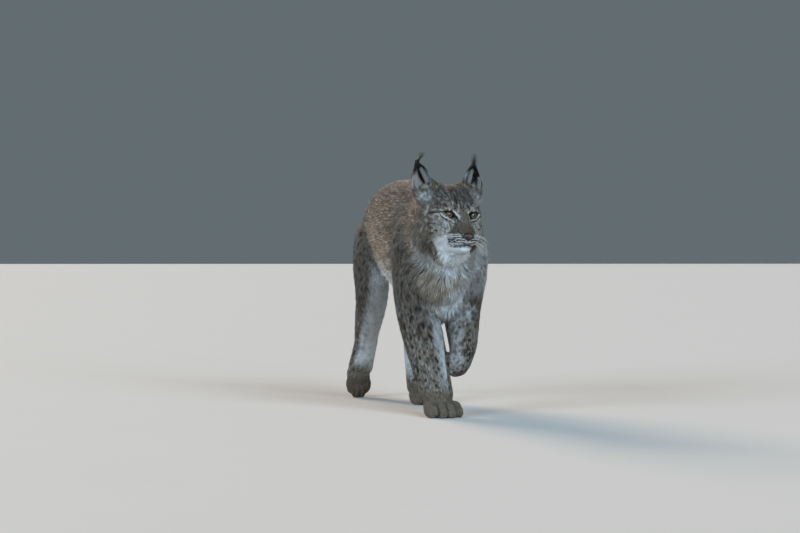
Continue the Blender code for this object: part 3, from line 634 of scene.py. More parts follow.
# a bridge from the breast into the head, so that the two skins overlap
neckForm = metres([
    (-80, -2170, 4880, 900, 1100), (-180, -2850, 4880, 860, 1020), (-270, -3400, 4970, 760, 880),
    (-330, -3850, 5100, 680, 720), (-330, -4170, 5200, 450, 500),
])


def bodySkin():
    shapes = []
    for name in bodyNodes:
        bm = bmesh.new()
        bm.from_mesh(frame["nodes"][name].data)
        bmesh.ops.remove_doubles(bm, verts=bm.verts, dist=1e-5)
        bm.normal_update()
        # the solids stand a little apart, and overlap once they are this much fatter
        points = [v.co + v.normal * 0.0006 for v in bm.verts]
        bm.verts.index_update()
        shapes.append((points, [[v.index for v in face.verts] for face in bm.faces]))
        bm.free()
    shapes.append(loft(neckForm))
    body = fused("bodySkin", shapes, 0.0032, 3)
    keepLargest(body.data)
    # the toes keep their form, the rest is smoothed further
    _, pawShare = toeGaps(pointsOf(body.data))
    broad = body.vertex_groups.new(name="broad")
    broad.add(np.flatnonzero(pawShare < 0.3).tolist(), 1.0, "REPLACE")
    smooth = body.modifiers.new("smooth", "SMOOTH")
    smooth.iterations = 14
    smooth.factor = 0.5
    smooth.vertex_group = "broad"
    applied(body)
    points = pointsOf(body.data)
    _, lengths, _, _ = coatMap(points)
    inset = points - normalsOf(body.data) * (lengths * skinShare)[:, None]
    inset[:, 2] = np.maximum(inset[:, 2], 0.0008)
    setPoints(body.data, inset)
    return body


body = bodySkin()
print("body skin:", len(body.data.polygons), "faces")
head = headSkin()
print("head skin:", len(head.data.polygons), "faces")

skinFaces = 188000  # triangles in the finished skin


def wholeSkin():
    carve(body, [shapeOf(head)], "UNION")
    body.name = "skin"
    body.data.name = "skin"
    bpy.data.objects.remove(head)
    keepLargest(body.data)
    count = sum(len(face.vertices) - 2 for face in body.data.polygons)
    thin = body.modifiers.new("thin", "DECIMATE")
    thin.ratio = min(1.0, skinFaces / count)
    thin.use_collapse_triangulate = True
    applied(body)
    body.data.shade_smooth()
    bpy.context.view_layer.objects.active = body
    body.select_set(True)
    body.data.uv_layers.new(name="OFBake")
    bpy.ops.object.mode_set(mode="EDIT")
    bpy.ops.mesh.select_all(action="SELECT")
    bpy.ops.uv.smart_project(angle_limit=math.radians(66), island_margin=0.003)
    bpy.ops.object.mode_set(mode="OBJECT")
    body.select_set(False)
    return body


skin = wholeSkin()
print("whole skin:", len(skin.data.polygons), "faces")


# Markings. One function colours skin and tufts alike: bodyColours for the body, faceColours for the head.

coatColours = {
    "grey": "#8B8071",
    "rufous": "#7D7160",
    "back": "#574E43",
    "leg": "#7A7267",
    "breast": "#BBB2A4",
    "white": "#DFE6EA",
    "cream": "#A8A19A",
    "paw": "#6C6152",
    "heel": "#5E5142",
    # painted shade on the lifted hind foot
    "spot": "#1A1310",
    "spotBrown": "#4A3325",
    "black": "#0F0C0B",
    "bridge": "#4C463C",
    "noseBrown": "#574536",
    "face": "#827766",
    "crown": "#574B40",
    "inner": "#8F979C",
    "ink": "#120D0B",
}
tone = {name: linear(text) for name, text in coatColours.items()}

spotForm = {
    "seed": 3,
    "spacing": 0.0150,  # between spots on the legs
    "size": (0.0020, 0.0041),  # half widths
    "stretch": (1.0, 1.45),  # length over width
    "large": (0.15, 1.4),  # share of the spots that are larger, and how much
    "blotches": (0.30, 1.55),  # the same above the wrist
    "bareTrunk": 0.45,  # share left out on the trunk
    "barePaleLeg": 0.85,  # share left out on the inner side of the trailing leg
    "footSize": 0.6,
    "trunkStrength": 0.60,
    "breastStrength": 1.2,
    "turn": 0.35,  # how far spots turn from the lie of the hair, in radians
}

skinPoints = pointsOf(skin.data)
skinNormals = normalsOf(skin.data)


def isHead(local):
    # 1 on the head and its ruff, 0 on the body
    _, back, up = local.T
    return fade(back - 0.35 * np.minimum(up, 0), 0.165, 0.140) * fade(up, -0.150, -0.120)


def scatterSpots():
    source = np.random.default_rng(spotForm["seed"])
    order = source.permutation(len(skinPoints))
    points, normals = skinPoints[order], skinNormals[order]
    local = toHead(points)
    ways, _, limb, along = coatMap(points)
    keep = isHead(local) < 0.5
    points, normals, ways, limb, along = (values[keep] for values in (points, normals, ways, limb, along))
    cells = np.floor(points / spotForm["spacing"] + waves(points, 0.11, 5)[:, None] * 0.4).astype(int)
    _, first = np.unique(cells, axis=0, return_index=True)
    points, normals, ways, limb, along = (values[first] for values in (points, normals, ways, limb, along))
    count = len(points)
    names = np.array(limbNames)[limb]
    onLeg = np.char.find(names, "leg") >= 0
    size = source.uniform(*spotForm["size"], count)
    share, growth = spotForm["large"]
    size *= np.where(source.random(count) < share, growth, 1.0)
    size *= np.where((names == "trunk") & (source.random(count) < spotForm["bareTrunk"]), 0, 1.0)
    # a few larger blotches above the wrist, and pale feet
    upperFore = (np.char.find(names, "fore") == 0) & (along > 0.34) & (along < 0.66)
    share, growth = spotForm["blotches"]
    size *= np.where(upperFore & (source.random(count) < share), growth, 1.0)
    size *= np.where(onLeg & (along > 0.88), spotForm["footSize"], 1.0)
    strength = np.where(onLeg, 1.0, spotForm["trunkStrength"]) * source.uniform(0.7, 1.0, count)
    strength *= np.where(np.isin(names, ["breast", "neck"]), spotForm["breastStrength"], 1.0)
    # the trailing leg is pale, with spots along its outer side only
    trailing = (names == "hindlegRight") & (normals[:, 0] > -0.25)
    size *= np.where(trailing & (source.random(count) < spotForm["barePaleLeg"]), 0, 1.0)
    turn = source.normal(0, spotForm["turn"], count)
    side = unit(np.cross(normals, ways))
    way = unit(np.cross(side, normals))
    lie = way * np.cos(turn)[:, None] + side * np.sin(turn)[:, None]
    stretch = source.uniform(*spotForm["stretch"], count)
    used = size > 0.0008
    return points[used], lie[used], size[used], stretch[used], strength[used]


spotPoints, spotWays, spotSizes, spotStretch, spotStrength = scatterSpots()
spotTree = KDTree(len(spotPoints))
for number, spot in enumerate(spotPoints):
    spotTree.insert(spot, number)
spotTree.balance()


def spotMask(points):
    near = np.zeros((len(points), 3), dtype=int)
    for row, point in enumerate(points):
        found = spotTree.find_n(point, 3)
        near[row] = [item[1] for item in found]
    rag = waves(points, 0.006, 21) * 0.22
    mask = np.zeros(len(points))
    for k in range(3):
        spot = near[:, k]
        gap = points - spotPoints[spot]
        ahead = np.einsum("ij,ij->i", gap, spotWays[spot])
        aside = np.linalg.norm(gap - ahead[:, None] * spotWays[spot], axis=1)
        reach = np.hypot(ahead / spotStretch[spot], aside) / spotSizes[spot] + rag
        mask = np.maximum(mask, fade(reach, 1.25, 0.75) * spotStrength[spot])
    return mask


def bodyColours(points, normals):
    ways, _, limb, along = coatMap(points)
    names = np.array(limbNames)[limb]
    onLeg = np.char.find(names, "leg") >= 0
    x, y, z = points.T
    nx, ny, nz = normals.T
    colour = mix(tone["grey"], tone["rufous"], np.clip(0.30 + 0.25 * waves(points, 0.16, 7), 0, 1))
    legTone = mix(tone["grey"], tone["leg"], fade(z, 0.58, 0.44))
    colour = mix(colour, legTone, onLeg * 0.92)
    colour = mix(colour, tone["breast"], (names == "breast") * 0.9)
    onTrunk = (names == "trunk") | (names == "neck")
    back = fade(nz, -0.10, 0.75) * onTrunk * (0.5 + 0.5 * fade(y, -0.24, -0.12))
    colour = mix(colour, tone["back"], back * 0.75)
    # salt and pepper, in short dashes along the hair; the pale flecks are partly the fur's own frosting and
    # partly painted highlight
    across = points - ways * (np.einsum("ij,ij->i", points, ways) * 0.6)[:, None]
    pepper = fade(waves(across, 0.0060, 8), 0.35, 1.0)
    saltAndHighlight = fade(waves(across, 0.0065, 14), 0.45, 1.1)
    pepperShare = np.where(names == "trunk", 0.85, np.where(onLeg, 0.42, 0.50))
    colour = mix(colour, tone["spot"], pepper * pepperShare)
    colour = mix(colour, tone["white"], saltAndHighlight * np.where(onLeg, 0.30, 0.46))
    # pale underneath, inside the legs, and down the throat and breast
    under = fade(nz, -0.15, -0.65) * (names == "trunk") * fade(z, 0.47, 0.38)
    inner = fade(-nx * np.sign(x + 0.001), 0.0, 0.55) * onLeg * fade(z, 0.05, 0.12)
    inner *= np.where(names == "forelegLeft", 0.45, 1.0)
    trailing = (names == "hindlegRight") * fade(z, 0.085, 0.12) * fade(z, 0.50, 0.43)
    inner = np.maximum(inner, trailing * fade(nx, -0.90, -0.55) * 1.1)
    shin = (names == "hindlegLeft") * fade(z, 0.09, 0.13) * fade(z, 0.30, 0.24)
    inner = np.maximum(inner, shin * fade(-ny, 0.1, 0.6) * 0.75)
    rag = 0.006 * waves(points, 0.025, 9)
    aside = np.abs(x + 0.014 + (z - 0.40) * 0.12) + rag
    front = fade(-ny, -0.1, 0.35) * fade(y, -0.17, -0.22)
    reach = np.interp(z, [0.350, 0.372, 0.40, 0.44], [-0.004, 0.020, 0.044, 0.060])
    wedge = fade(aside - reach, 0.010, -0.008) * fade(z, 0.50, 0.46) * fade(nz, 0.5, 0.1)
    # the pale middle of the breast runs down to the inner side of the lifted leg
    breast = np.abs(x - np.interp(z, [0.26, 0.30, 0.35], [0.044, 0.038, 0.024])) + rag
    reach = np.interp(z, [0.230, 0.26, 0.30, 0.335, 0.35], [0.034, 0.046, 0.052, 0.020, -0.010])
    middle = fade(breast - reach, 0.012, -0.008) * fade(z, 0.235, 0.265)
    middle *= np.where(names == "forelegLeft", 0.45, 1.0)
    flank = fade(x, 0.010, 0.040) * fade(z, 0.30, 0.34) * fade(z, 0.50, 0.44) * 0.50
    chest = np.maximum(np.maximum(wedge, middle), flank) * front
    pale = np.maximum(np.maximum(under * 0.9, inner * 0.8), chest)
    pale = np.clip(pale * (1 - 0.12 * waves(points, 0.02, 12)), 0, 1)
    colour = mix(colour, tone["white"], pale)
    dark = mix(tone["spot"], tone["spotBrown"], fade(waves(points, 0.045, 41), 0.1, 0.9) * 0.75)
    colour = mix(colour, dark, spotMask(points) * (1 - 0.75 * pale) * (1 - 0.55 * back))
    # the tail ends black, all the way round
    colour = mix(colour, tone["black"], (names == "tail") * fade(along, 0.62, 0.72))
    cleftShade, pawShare = toeGaps(points)
    # the lifted hind foot is painted a darker brown, as painted shade
    lastFoot = names == "hindlegRight"
    foot = mix(tone["paw"], tone["heel"], lastFoot * 1.0)
    colour = mix(colour, foot, pawShare * np.where(lastFoot, 0.85 * fade(z, 0.088, 0.050), 0.72))
    # painted shade in the clefts between the toes
    return mix(colour, tone["spot"], cleftShade * 0.7)


def stroke(s, z, rows, soft=0.0006, grow=0.0):
    # a brush line through rows of distance round, height and half width
    mask = np.zeros(len(s))
    flat = np.stack([s, z], axis=1)
    for start, end in zip(np.array(rows[:-1]), np.array(rows[1:])):
        way = end[:2] - start[:2]
        t = np.clip((flat - start[:2]) @ way / (way @ way), 0, 1)
        gap = np.linalg.norm(flat - start[:2] - t[:, None] * way, axis=1)
        half = start[2] + (end[2] - start[2]) * t
        mask = np.maximum(mask, fade(gap - half - grow, soft, -soft))
    return mask


def patch(s, z, middle, sizes, start=1.15, end=0.75):
    return fade(np.hypot((s - middle[0]) / sizes[0], (z - middle[1]) / sizes[1]), start, end)


# Lines on the unrolled face, half of it for both sides: tone, strength, then rows of distance round
# from the nose, height and half width
faceStrokes = [
    # from the brow down the inner side of the eye
    ("white", 0.75, [(235, 120, 7), (165, 62, 13), (130, -30, 20), (128, -125, 11)]),
    ("white", 0.24, [(235, 340, 10), (238, 210, 11), (250, 130, 8)]),
    ("white", 0.16, [(100, 300, 9), (110, 190, 10), (120, 80, 9)]),
    ("white", 0.72, [(550, 52, 6), (480, -12, 12), (400, -84, 14), (310, -118, 15),
                     (235, -136, 19), (205, -180, 14)]),
    ("spot", 0.9, [(565, 20, 6), (480, -62, 10), (395, -128, 11), (290, -160, 8)]),
    # from the temple over the upper lid to the inner corner
    ("ink", 1.0, [(1000, 42, 6), (860, 54, 21), (700, 66, 18), (600, 72, 12), (460, 92, 15),
                  (380, 102, 14), (270, 90, 14), (200, 28, 18), (172, -48, 24), (128, -150, 10)]),
    # painted shade in the fold beside the nose
    ("ink", 0.9, [(165, -375, 5), (140, -460, 11), (110, -530, 13), (85, -590, 10)]),
    # cheek
    ("spot", 0.95, [(980, -205, 4), (850, -218, 16), (660, -224, 9)]),
    ("spot", 0.9, [(605, -252, 6), (550, -262, 11), (500, -262, 5)]),
    ("spot", 0.9, [(515, -305, 5), (450, -335, 12), (385, -362, 5)]),
    ("spot", 0.95, [(920, -462, 5), (800, -475, 19), (700, -470, 7)]),
    ("spot", 0.9, [(690, -382, 5), (640, -398, 14), (590, -404, 5)]),
    ("spot", 0.8, [(860, -328, 5), (790, -338, 13), (720, -336, 5)]),
    ("spot", 0.6, [(640, -125, 5), (580, -135, 10), (520, -150, 5)]),
    ("spot", 0.6, [(580, -190, 4), (520, -200, 9), (460, -215, 4)]),
    ("spot", 0.7, [(820, -100, 4), (760, -112, 11), (690, -118, 5)]),
    # forehead
    ("spot", 0.95, [(136, 180, 6), (150, 300, 16), (150, 420, 21), (175, 490, 10)]),
    ("spot", 0.95, [(205, 160, 9), (203, 215, 16), (210, 265, 6)]),
    ("spot", 0.9, [(10, 100, 6), (42, 200, 14), (48, 290, 7)]),
    ("spot", 0.95, [(235, 540, 6), (263, 604, 20), (290, 680, 8)]),
    ("spot", 0.85, [(290, 300, 6), (320, 370, 14), (340, 440, 6)]),
    ("spot", 0.9, [(400, 190, 6), (425, 225, 17), (450, 300, 7)]),
    ("spot", 0.9, [(370, 470, 6), (450, 550, 16), (530, 620, 8)]),
    ("spot", 0.85, [(70, 350, 6), (90, 430, 15), (100, 500, 6)]),
    ("spot", 0.8, [(50, 560, 6), (75, 640, 15), (90, 720, 7)]),
    ("spot", 0.8, [(330, 620, 5), (360, 690, 16), (400, 760, 6)]),
    ("spot", 0.7, [(480, 370, 5), (520, 420, 13), (570, 480, 6)]),
    ("spot", 0.6, [(600, 270, 5), (650, 320, 13), (700, 370, 5)]),
    ("spot", 0.6, [(570, 150, 5), (630, 185, 12), (690, 210, 5)]),
    ("spot", 0.7, [(190, 620, 5), (180, 690, 14), (190, 760, 5)]),
]
whiskerRows = [  # height at the nose's end, its change, then the distances round of the dark dashes
    (-520, 0, 186, 250, 312, 365), (-585, 6, 125, 186, 250, 315, 370),
    (-650, 22, 84, 145, 205, 268, 330), (-715, 34, 70, 130, 192, 252, 312),
]
mouthLine = metres([(0, -752, 18), (91, -790, 28), (177, -792, 34), (282, -768, 32), (350, -716, 20)])
# painted shadow down the hollow in front of the ear: across, height and half width
earHollowShadow = metres([(860, 1400, 66), (790, 1220, 58), (740, 1020, 50), (640, 880, 42), (560, 780, 36),
                  (480, 720, 26), (380, 690, 14)])


def earColours(local, normals, colour):
    # dark behind with a grey middle; in front a dark band of painted shadow down the hollow, running into the
    # dark top, with pale hair within it and a pale lobe outside
    x, _, z = local.T
    side = np.abs(x)
    ny = (normals @ headTurnArray)[:, 1]
    inward = np.interp(z, [0.064, 0.080, 0.095, 0.110], [0.064, 0.059, 0.052, 0.040])
    onEar = fade(z, 0.064, 0.076) * fade(side - inward, -0.004, 0.004)
    faces = fade(-ny, -0.15, 0.20)
    middle = fade(np.hypot((side - 0.072) / 0.016, (z - 0.092) / 0.022), 1.2, 0.7)
    behind = mix(tone["ink"], tone["cream"], middle * 0.5)
    # the left ear's band lies further out and is wider, and the right ear's pale lobe reaches higher: painted
    # shade that falls differently in each ear
    shifted = side - 0.008 * (x > 0) * fade(z, 0.130, 0.110)
    hollowShadow = np.maximum(stroke(shifted, z, earHollowShadow, 0.0032, 0.0016 + 0.0030 * (x > 0)), fade(z, 0.108, 0.124))
    hollowShadowAcross = np.interp(z, earHollowShadow[::-1, 1], earHollowShadow[::-1, 0])
    outer = fade(shifted - hollowShadowAcross, 0.002, 0.010)
    lobe = fade(z + (side - 0.080) * 0.5 - 0.024 * (x < 0), 0.100, 0.078)
    inFront = mix(tone["inner"], tone["ink"], hollowShadow)
    inFront = mix(inFront, mix(tone["ink"], tone["cream"], lobe), outer)
    return mix(colour, mix(behind, inFront, faces), onEar)


def faceColours(local, normals):
    x, y, z = local.T
    side = np.abs(x)
    s = 0.090 * np.arctan2(side, np.maximum(0.090 - y, 0.002))
    s = np.where(y > 0.088, 0.1414 + (y - 0.088) * 0.6, s)
    s = s + 0.0007 * waves(local, 0.010, 31)
    zz = z + 0.0007 * waves(local, 0.010, 32)
    colour = mix(tone["face"], tone["rufous"], np.clip(0.25 + 0.3 * waves(local, 0.05, 33), 0, 1))
    # darker over the crown and at the back of the cheek, paler in front of it and below the ear
    crown = fade(z, 0.012, 0.034)
    backCheek = fade(s, 0.078, 0.098) * fade(z, 0.045, 0.030)
    colour = mix(colour, tone["crown"], np.maximum(crown * 0.8, backCheek * 0.30))
    paleCheek = fade(s, 0.030, 0.042) * fade(s, 0.084, 0.066) * fade(zz, -0.004, -0.014)
    colour = mix(colour, tone["white"], paleCheek * 0.25)
    colour = mix(colour, tone["white"], patch(s, zz, (0.116, 0.046), (0.026, 0.018), 1.3, 0.2) * 0.5)
    dashes = fade(waves(local * (1, 1, 0.5), 0.0070, 34), 0.05, 0.45)
    above = fade(z, 0.012, 0.030)
    colour = mix(colour, tone["spot"], dashes * (0.62 * above + 0.42 * (1 - above)))
    pales = fade(waves(local * (1, 1, 0.5), 0.0070, 36), 0.4, 0.9)
    colour = mix(colour, tone["white"], pales * (0.40 - 0.16 * above) * (1 - 0.45 * fade(s, 0.095, 0.115)))
    # the bridge of the nose: grey between the eyes, brown below, widening to the whisker pads
    widen = np.interp(zz, [-0.046, -0.040, -0.015, 0.010], [0.0360, 0.0320, 0.0135, 0.0095])
    bridge = fade(s - widen, 0.0022, -0.0018) * fade(zz, 0.014, 0.004) * fade(zz, -0.0500, -0.0465)
    below = fade(zz, -0.008, -0.030)
    colour = mix(colour, mix(tone["crown"], tone["bridge"], below), bridge * (0.58 + 0.28 * below))
    rufousTip = fade(s, 0.0120, 0.0070) * fade(zz, -0.024, -0.036) * fade(zz, -0.0500, -0.0465)
    colour = mix(colour, tone["noseBrown"], rufousTip * 0.6)
    # white: the whisker pads, chin and throat
    muzzle = fade(zz, -0.0470, -0.0505) * fade(s, 0.0440, 0.0370) * fade(y, 0.022, 0.008)
    limit = np.interp(zz, [-0.128, -0.108, -0.088, -0.066], [0.040, 0.057, 0.071, 0.090])
    limit = limit + 0.004 * waves(local, 0.02, 37)
    chin = fade(zz, -0.0800, -0.0835) * fade(s - limit, 0.006, -0.006)
    edge = -0.050 - np.maximum(s - 0.040, 0) * 0.42
    throat = fade(zz - edge, 0.004, -0.006) * fade(s, 0.034, 0.040) * fade(s - limit, 0.006, -0.006)
    fringe = fade(s, 0.126, 0.156) * fade(zz, -0.045, -0.090) * (0.42 + 0.22 * waves(local, 0.014, 39))
    for amount in (muzzle * 0.70, chin * 0.92, throat, fringe):
        colour = mix(colour, tone["white"], np.clip(amount, 0, 1))
    breaks = np.clip(0.95 + 0.25 * waves(local, 0.007, 35), 0, 1)
    for name, strength, rows in faceStrokes:
        mask = stroke(s, zz, metres(rows), 0.0006, 0.0010 if name == "spot" else 0.0004) * strength
        colour = mix(colour, tone[name], mask * (breaks if name == "spot" else 1))
    colour = mix(colour, tone["back"], patch(s, zz, (0.118, -0.088), (0.018, 0.034), 1.3, 0.4) * 0.45)
    colour = mix(colour, tone["spot"], patch(s, zz, (0.118, -0.082), (0.006, 0.018)) * 0.6 * breaks)
    across, up = side - place.x, z - place.z
    lid = np.hypot(across, up) - lidReach(across, up)
    dark = fade(lid, 0.0034, 0.0020) * fade(up, -0.006, 0.002) + fade(lid, 0.0022, 0.0012)
    colour = mix(colour, tone["ink"], np.clip(dark, 0, 1) * fade(y, 0.034, 0.028))
    for row in whiskerRows:
        height, change, *marks = metres(row)
        for mark in marks:
            rise = height + change * (mark - 0.0074) / 0.022
            gap = np.hypot((s - mark) / 0.0034, (zz - rise) / 0.0022)
            colour = mix(colour, tone["ink"], fade(gap, 1.20, 0.80) * muzzle)
    lips = stroke(s, zz, mouthLine, 0.0016, 0.0010) * fade(y, 0.014, 0.004)
    colour = mix(colour, tone["ink"], lips * np.clip(0.75 + 0.5 * waves(local, 0.005, 38), 0, 1))
    return earColours(local, normals, colour)


def coatColour(points, normals):
    local = toHead(points)
    share = isHead(local)
    colour = np.zeros((len(points), 3))
    onBody = share < 0.999
    onHead = share > 0.001
    colour[onBody] = bodyColours(points[onBody], normals[onBody]) * (1 - share[onBody])[:, None]
    colour[onHead] += faceColours(local[onHead], normals[onHead]) * share[onHead][:, None]
    return colour


def headWay(local):
    # the lie of the hair on the head: away from the nose, down the cheeks and back under the throat
    across, back, up = local.T
    outward = np.sign(across)[:, None]
    way = unit(local - np.array((0.0, -0.075, -0.040)))
    cheek = fade(up, 0.035, -0.020) * fade(back, 0.025, 0.070)
    way = way * (1 - cheek[:, None]) + cheek[:, None] * (np.array((0.0, 0.42, -1.0)) + outward * (0.10, 0, 0))
    chin = fade(up, -0.070, -0.085)
    way = way + chin[:, None] * np.array((0.0, 0.6, -0.9))
    forehead = fade(up, 0.015, 0.04) * (1 - cheek)
    way = way + forehead[:, None] * np.array((0.0, 0.5, 0.25))
    ear = fade(up, 0.066, 0.080) * fade(np.abs(across), 0.030, 0.040)
    upward = np.array((0.0, 0.0, 1.0)) + outward * (0.25, 0, 0)
    way = way * (1 - ear[:, None]) + ear[:, None] * upward
    return unit(way @ headTurnArray.T)


def storeColours(mesh, colours):
    layer = mesh.color_attributes.new("coatColour", "FLOAT_COLOR", "POINT")
    values = np.ones((len(colours), 4), dtype=np.float32)
    values[:, :3] = colours
    layer.data.foreach_set("color", values.ravel())


skinColours = coatColour(skinPoints, skinNormals)
storeColours(skin.data, skinColours * 0.8)
print("markings:", len(spotPoints), "spots")


# Tufts. Each is a closed, three-sided, tapered wisp with its own patch of the bake map.

def triangleData(mesh):
    count = len(mesh.loop_triangles)
    corners = np.empty(count * 3, dtype=np.int64)
    mesh.loop_triangles.foreach_get("vertices", corners)
    loops = np.empty(count * 3, dtype=np.int64)
    mesh.loop_triangles.foreach_get("loops", loops)
    uv = np.empty(len(mesh.loops) * 2)
    mesh.uv_layers["OFBake"].uv.foreach_get("vector", uv)
    return corners.reshape(-1, 3), uv.reshape(-1, 2)[loops].reshape(-1, 3, 2)


skin.data.calc_loop_triangles()
skinCorners, skinUv = triangleData(skin.data)
skinAreas = np.linalg.norm(np.cross(
    skinPoints[skinCorners[:, 1]] - skinPoints[skinCorners[:, 0]],
    skinPoints[skinCorners[:, 2]] - skinPoints[skinCorners[:, 0]]), axis=1) / 2


def seedRoots(spacing, seed, wanted):
    # even roots about spacing apart over the triangles where wanted(middle points) is true
    source = np.random.default_rng(seed)
    middles = skinPoints[skinCorners].mean(axis=1)
    chosen = np.flatnonzero(wanted(middles))
    areas = skinAreas[chosen]
    count = int(areas.sum() / spacing ** 2 * 5)
    found = np.searchsorted(np.cumsum(areas), source.random(count) * areas.sum())
    picks = chosen[found.clip(max=len(chosen) - 1)]
    first, second = source.random((2, count))
    flip = first + second > 1
    first[flip], second[flip] = 1 - first[flip], 1 - second[flip]
    shares = np.stack([1 - first - second, first, second], axis=1)
    points = np.einsum("ij,ijk->ik", shares, skinPoints[skinCorners[picks]])
    cells = np.floor(points / spacing).astype(int)
    _, kept = np.unique(cells, axis=0, return_index=True)
    shares, picks, points = shares[kept], picks[kept], points[kept]
    normals = unit(np.einsum("ij,ijk->ik", shares, skinNormals[skinCorners[picks]]))
    uvs = np.einsum("ij,ijk->ik", shares, skinUv[picks])
    return points, normals, uvs


tuftForm = {
    "curl": 0.35,  # how far the tip bends back to the coat
    "flat": 0.45,  # thickness over width
    "shading": (0.62, 0.95, 1.12),  # painted shade from the root, deep in the coat, to a painted highlight at the tip
    "patch": 0.003,  # the size on the bake map
}


def tufts(name, roots, normals, uvs, ways, lengths, widths, lifts, seed, rings, shares):
    source = np.random.default_rng(seed)
    count = len(roots)
    ways = unit(ways - np.einsum("ij,ij->i", ways, normals)[:, None] * normals)
    side = np.cross(ways, normals)
    drift = 0.20 * waves(roots, 0.035, seed + 1) + 0.14 * source.normal(size=count)
    ways = unit(ways + side * drift[:, None])
    side = np.cross(ways, normals)
    lengths = lengths * (1 + 0.18 * source.normal(size=count)).clip(0.5, 1.5)
    widths = widths * source.uniform(0.7, 1.3, count)
    lifts = lifts * (1 + 0.25 * waves(roots, 0.02, seed + 2) + 0.2 * source.normal(size=count)).clip(0.1, 2.2)
    steps = (*rings, 1.0)
    ringCount = len(rings)
    points = np.empty((count, ringCount * 3 + 1, 3))
    tones = np.empty((count, ringCount * 3 + 1, 3))
    own = (1 + 0.10 * source.normal(size=count)).clip(0.6, 1.4)
    # the outer part takes the marking that it lies over
    rootColours = coatColour(roots, normals)
    outerColours = coatColour(roots + ways * (lengths * 0.6)[:, None], normals)
    for index, t in enumerate(steps):
        ahead = lengths * t * np.cos(lifts)
        rise = lengths * (np.sin(lifts) * t * (1 - tuftForm["curl"] * t)) - 0.0008 * (t == 0)
        middle = roots + ways * ahead[:, None] + normals * rise[:, None]
        shade = np.interp(t, (0, 0.5, 1), tuftForm["shading"])
        colours = rootColours if t == 0 else outerColours
        if index < ringCount:
            half = (widths / 2 * shares[index])[:, None]
            points[:, index * 3] = middle + side * half
            points[:, index * 3 + 1] = middle - side * half
            points[:, index * 3 + 2] = middle + normals * half * tuftForm["flat"] * 2
            tones[:, index * 3:index * 3 + 3] = (colours * (shade * own)[:, None])[:, None]
        else:
            points[:, -1] = middle
            tones[:, -1] = colours * (shade * own)[:, None]
    points[..., 2] = np.maximum(points[..., 2], 0.0004)
    faces = [(0, 2, 1)]
    for ring in range(ringCount - 1):
        for k in range(3):
            a, b = ring * 3 + k, ring * 3 + (k + 1) % 3
            faces += [(a, b, b + 3), (a, b + 3, a + 3)]
    top = ringCount * 3
    for k in range(3):
        faces.append(((ringCount - 1) * 3 + k, (ringCount - 1) * 3 + (k + 1) % 3, top))
    faces = np.array(faces)
    corners = (np.arange(count)[:, None, None] * (top + 1) + faces[None]).reshape(-1)
    mesh = bpy.data.meshes.new(name)
    mesh.vertices.add(count * (top + 1))
    mesh.vertices.foreach_set("co", points.ravel())
    mesh.loops.add(len(corners))
    mesh.loops.foreach_set("vertex_index", corners)
    mesh.polygons.add(len(corners) // 3)
    mesh.polygons.foreach_set("loop_start", np.arange(0, len(corners), 3))
    mesh.update(calc_edges=True)
    mesh.shade_smooth()
    storeColours(mesh, tones.reshape(-1, 3))
    # the patch lies at the root's place on the skin's unwrap
    size = tuftForm["patch"]
    across = np.array([-size / 2, size / 2, 0.0] * ringCount + [0.0])
    up = np.array([t * size for t in rings for _ in range(3)] + [size])
    patchUv = np.stack([across, up], axis=1)
    spots = (uvs.clip(size, 1 - size)[:, None] + patchUv[None]).reshape(-1, 2)
    layer = mesh.uv_layers.new(name="OFBake")
    layer.uv.foreach_set("vector", spots[corners].ravel())
    return newObject(name, mesh, fur)


# Materials

def furMaterial(name, settings, scale, detail, levels, stretch=(1.0, 1.0, 1.0)):
    # fur: its colour comes from the coat's markings, broken up by fine fibres
    material, tree, shader = newMaterial(name, settings)
    tone = addNode(tree, "Attribute", {"attribute_name": "coatColour"})
    spot = addNode(tree, "TexCoord")
    stretched = addNode(tree, "Mapping", {"Scale": stretch}, {"Vector": spot.outputs["Object"]})
    fibres = addNode(tree, "TexNoise", {"Scale": scale, "Detail": detail},
                     {"Vector": stretched.outputs["Vector"]})
    level = addNode(tree, "MapRange", {
        "From Min": 0.3, "From Max": 0.7, "To Min": levels[0], "To Max": levels[1],
    }, {"Value": fibres.outputs["Fac"]})
    shaded = addNode(tree, "VectorMath", {"operation": "SCALE"},
                     {0: tone.outputs["Color"], "Scale": level.outputs["Result"]})
    tree.links.new(shaded.outputs["Vector"], shader.inputs["Base Color"])
    return material, tree, shader, fibres


def hairMaterial():
    # guard hair: matt keratin, its gloss low and broken
    return furMaterial("guardHair", {
        "Roughness": 0.60, "Specular IOR Level": 0.25, "Sheen Weight": 0.08, "Sheen Roughness": 0.45,
    }, 420.0, 2.0, (0.82, 1.16))[0]


def skinMaterial():
    # short underfur, felted: its fine bump follows the fibres, about 1.5 mm apart
    material, tree, shader, fibres = furMaterial("underfur", {
        "Roughness": 0.85, "Specular IOR Level": 0.15, "Sheen Weight": 0.05, "Sheen Roughness": 0.5,
    }, 650.0, 3.0, (0.72, 1.15), (1.0, 1.0, 0.35))
    bump = addNode(tree, "Bump", {"Strength": 0.6, "Distance": 0.0008}, {"Height": fibres.outputs["Fac"]})
    tree.links.new(bump.outputs["Normal"], shader.inputs["Normal"])
    return material


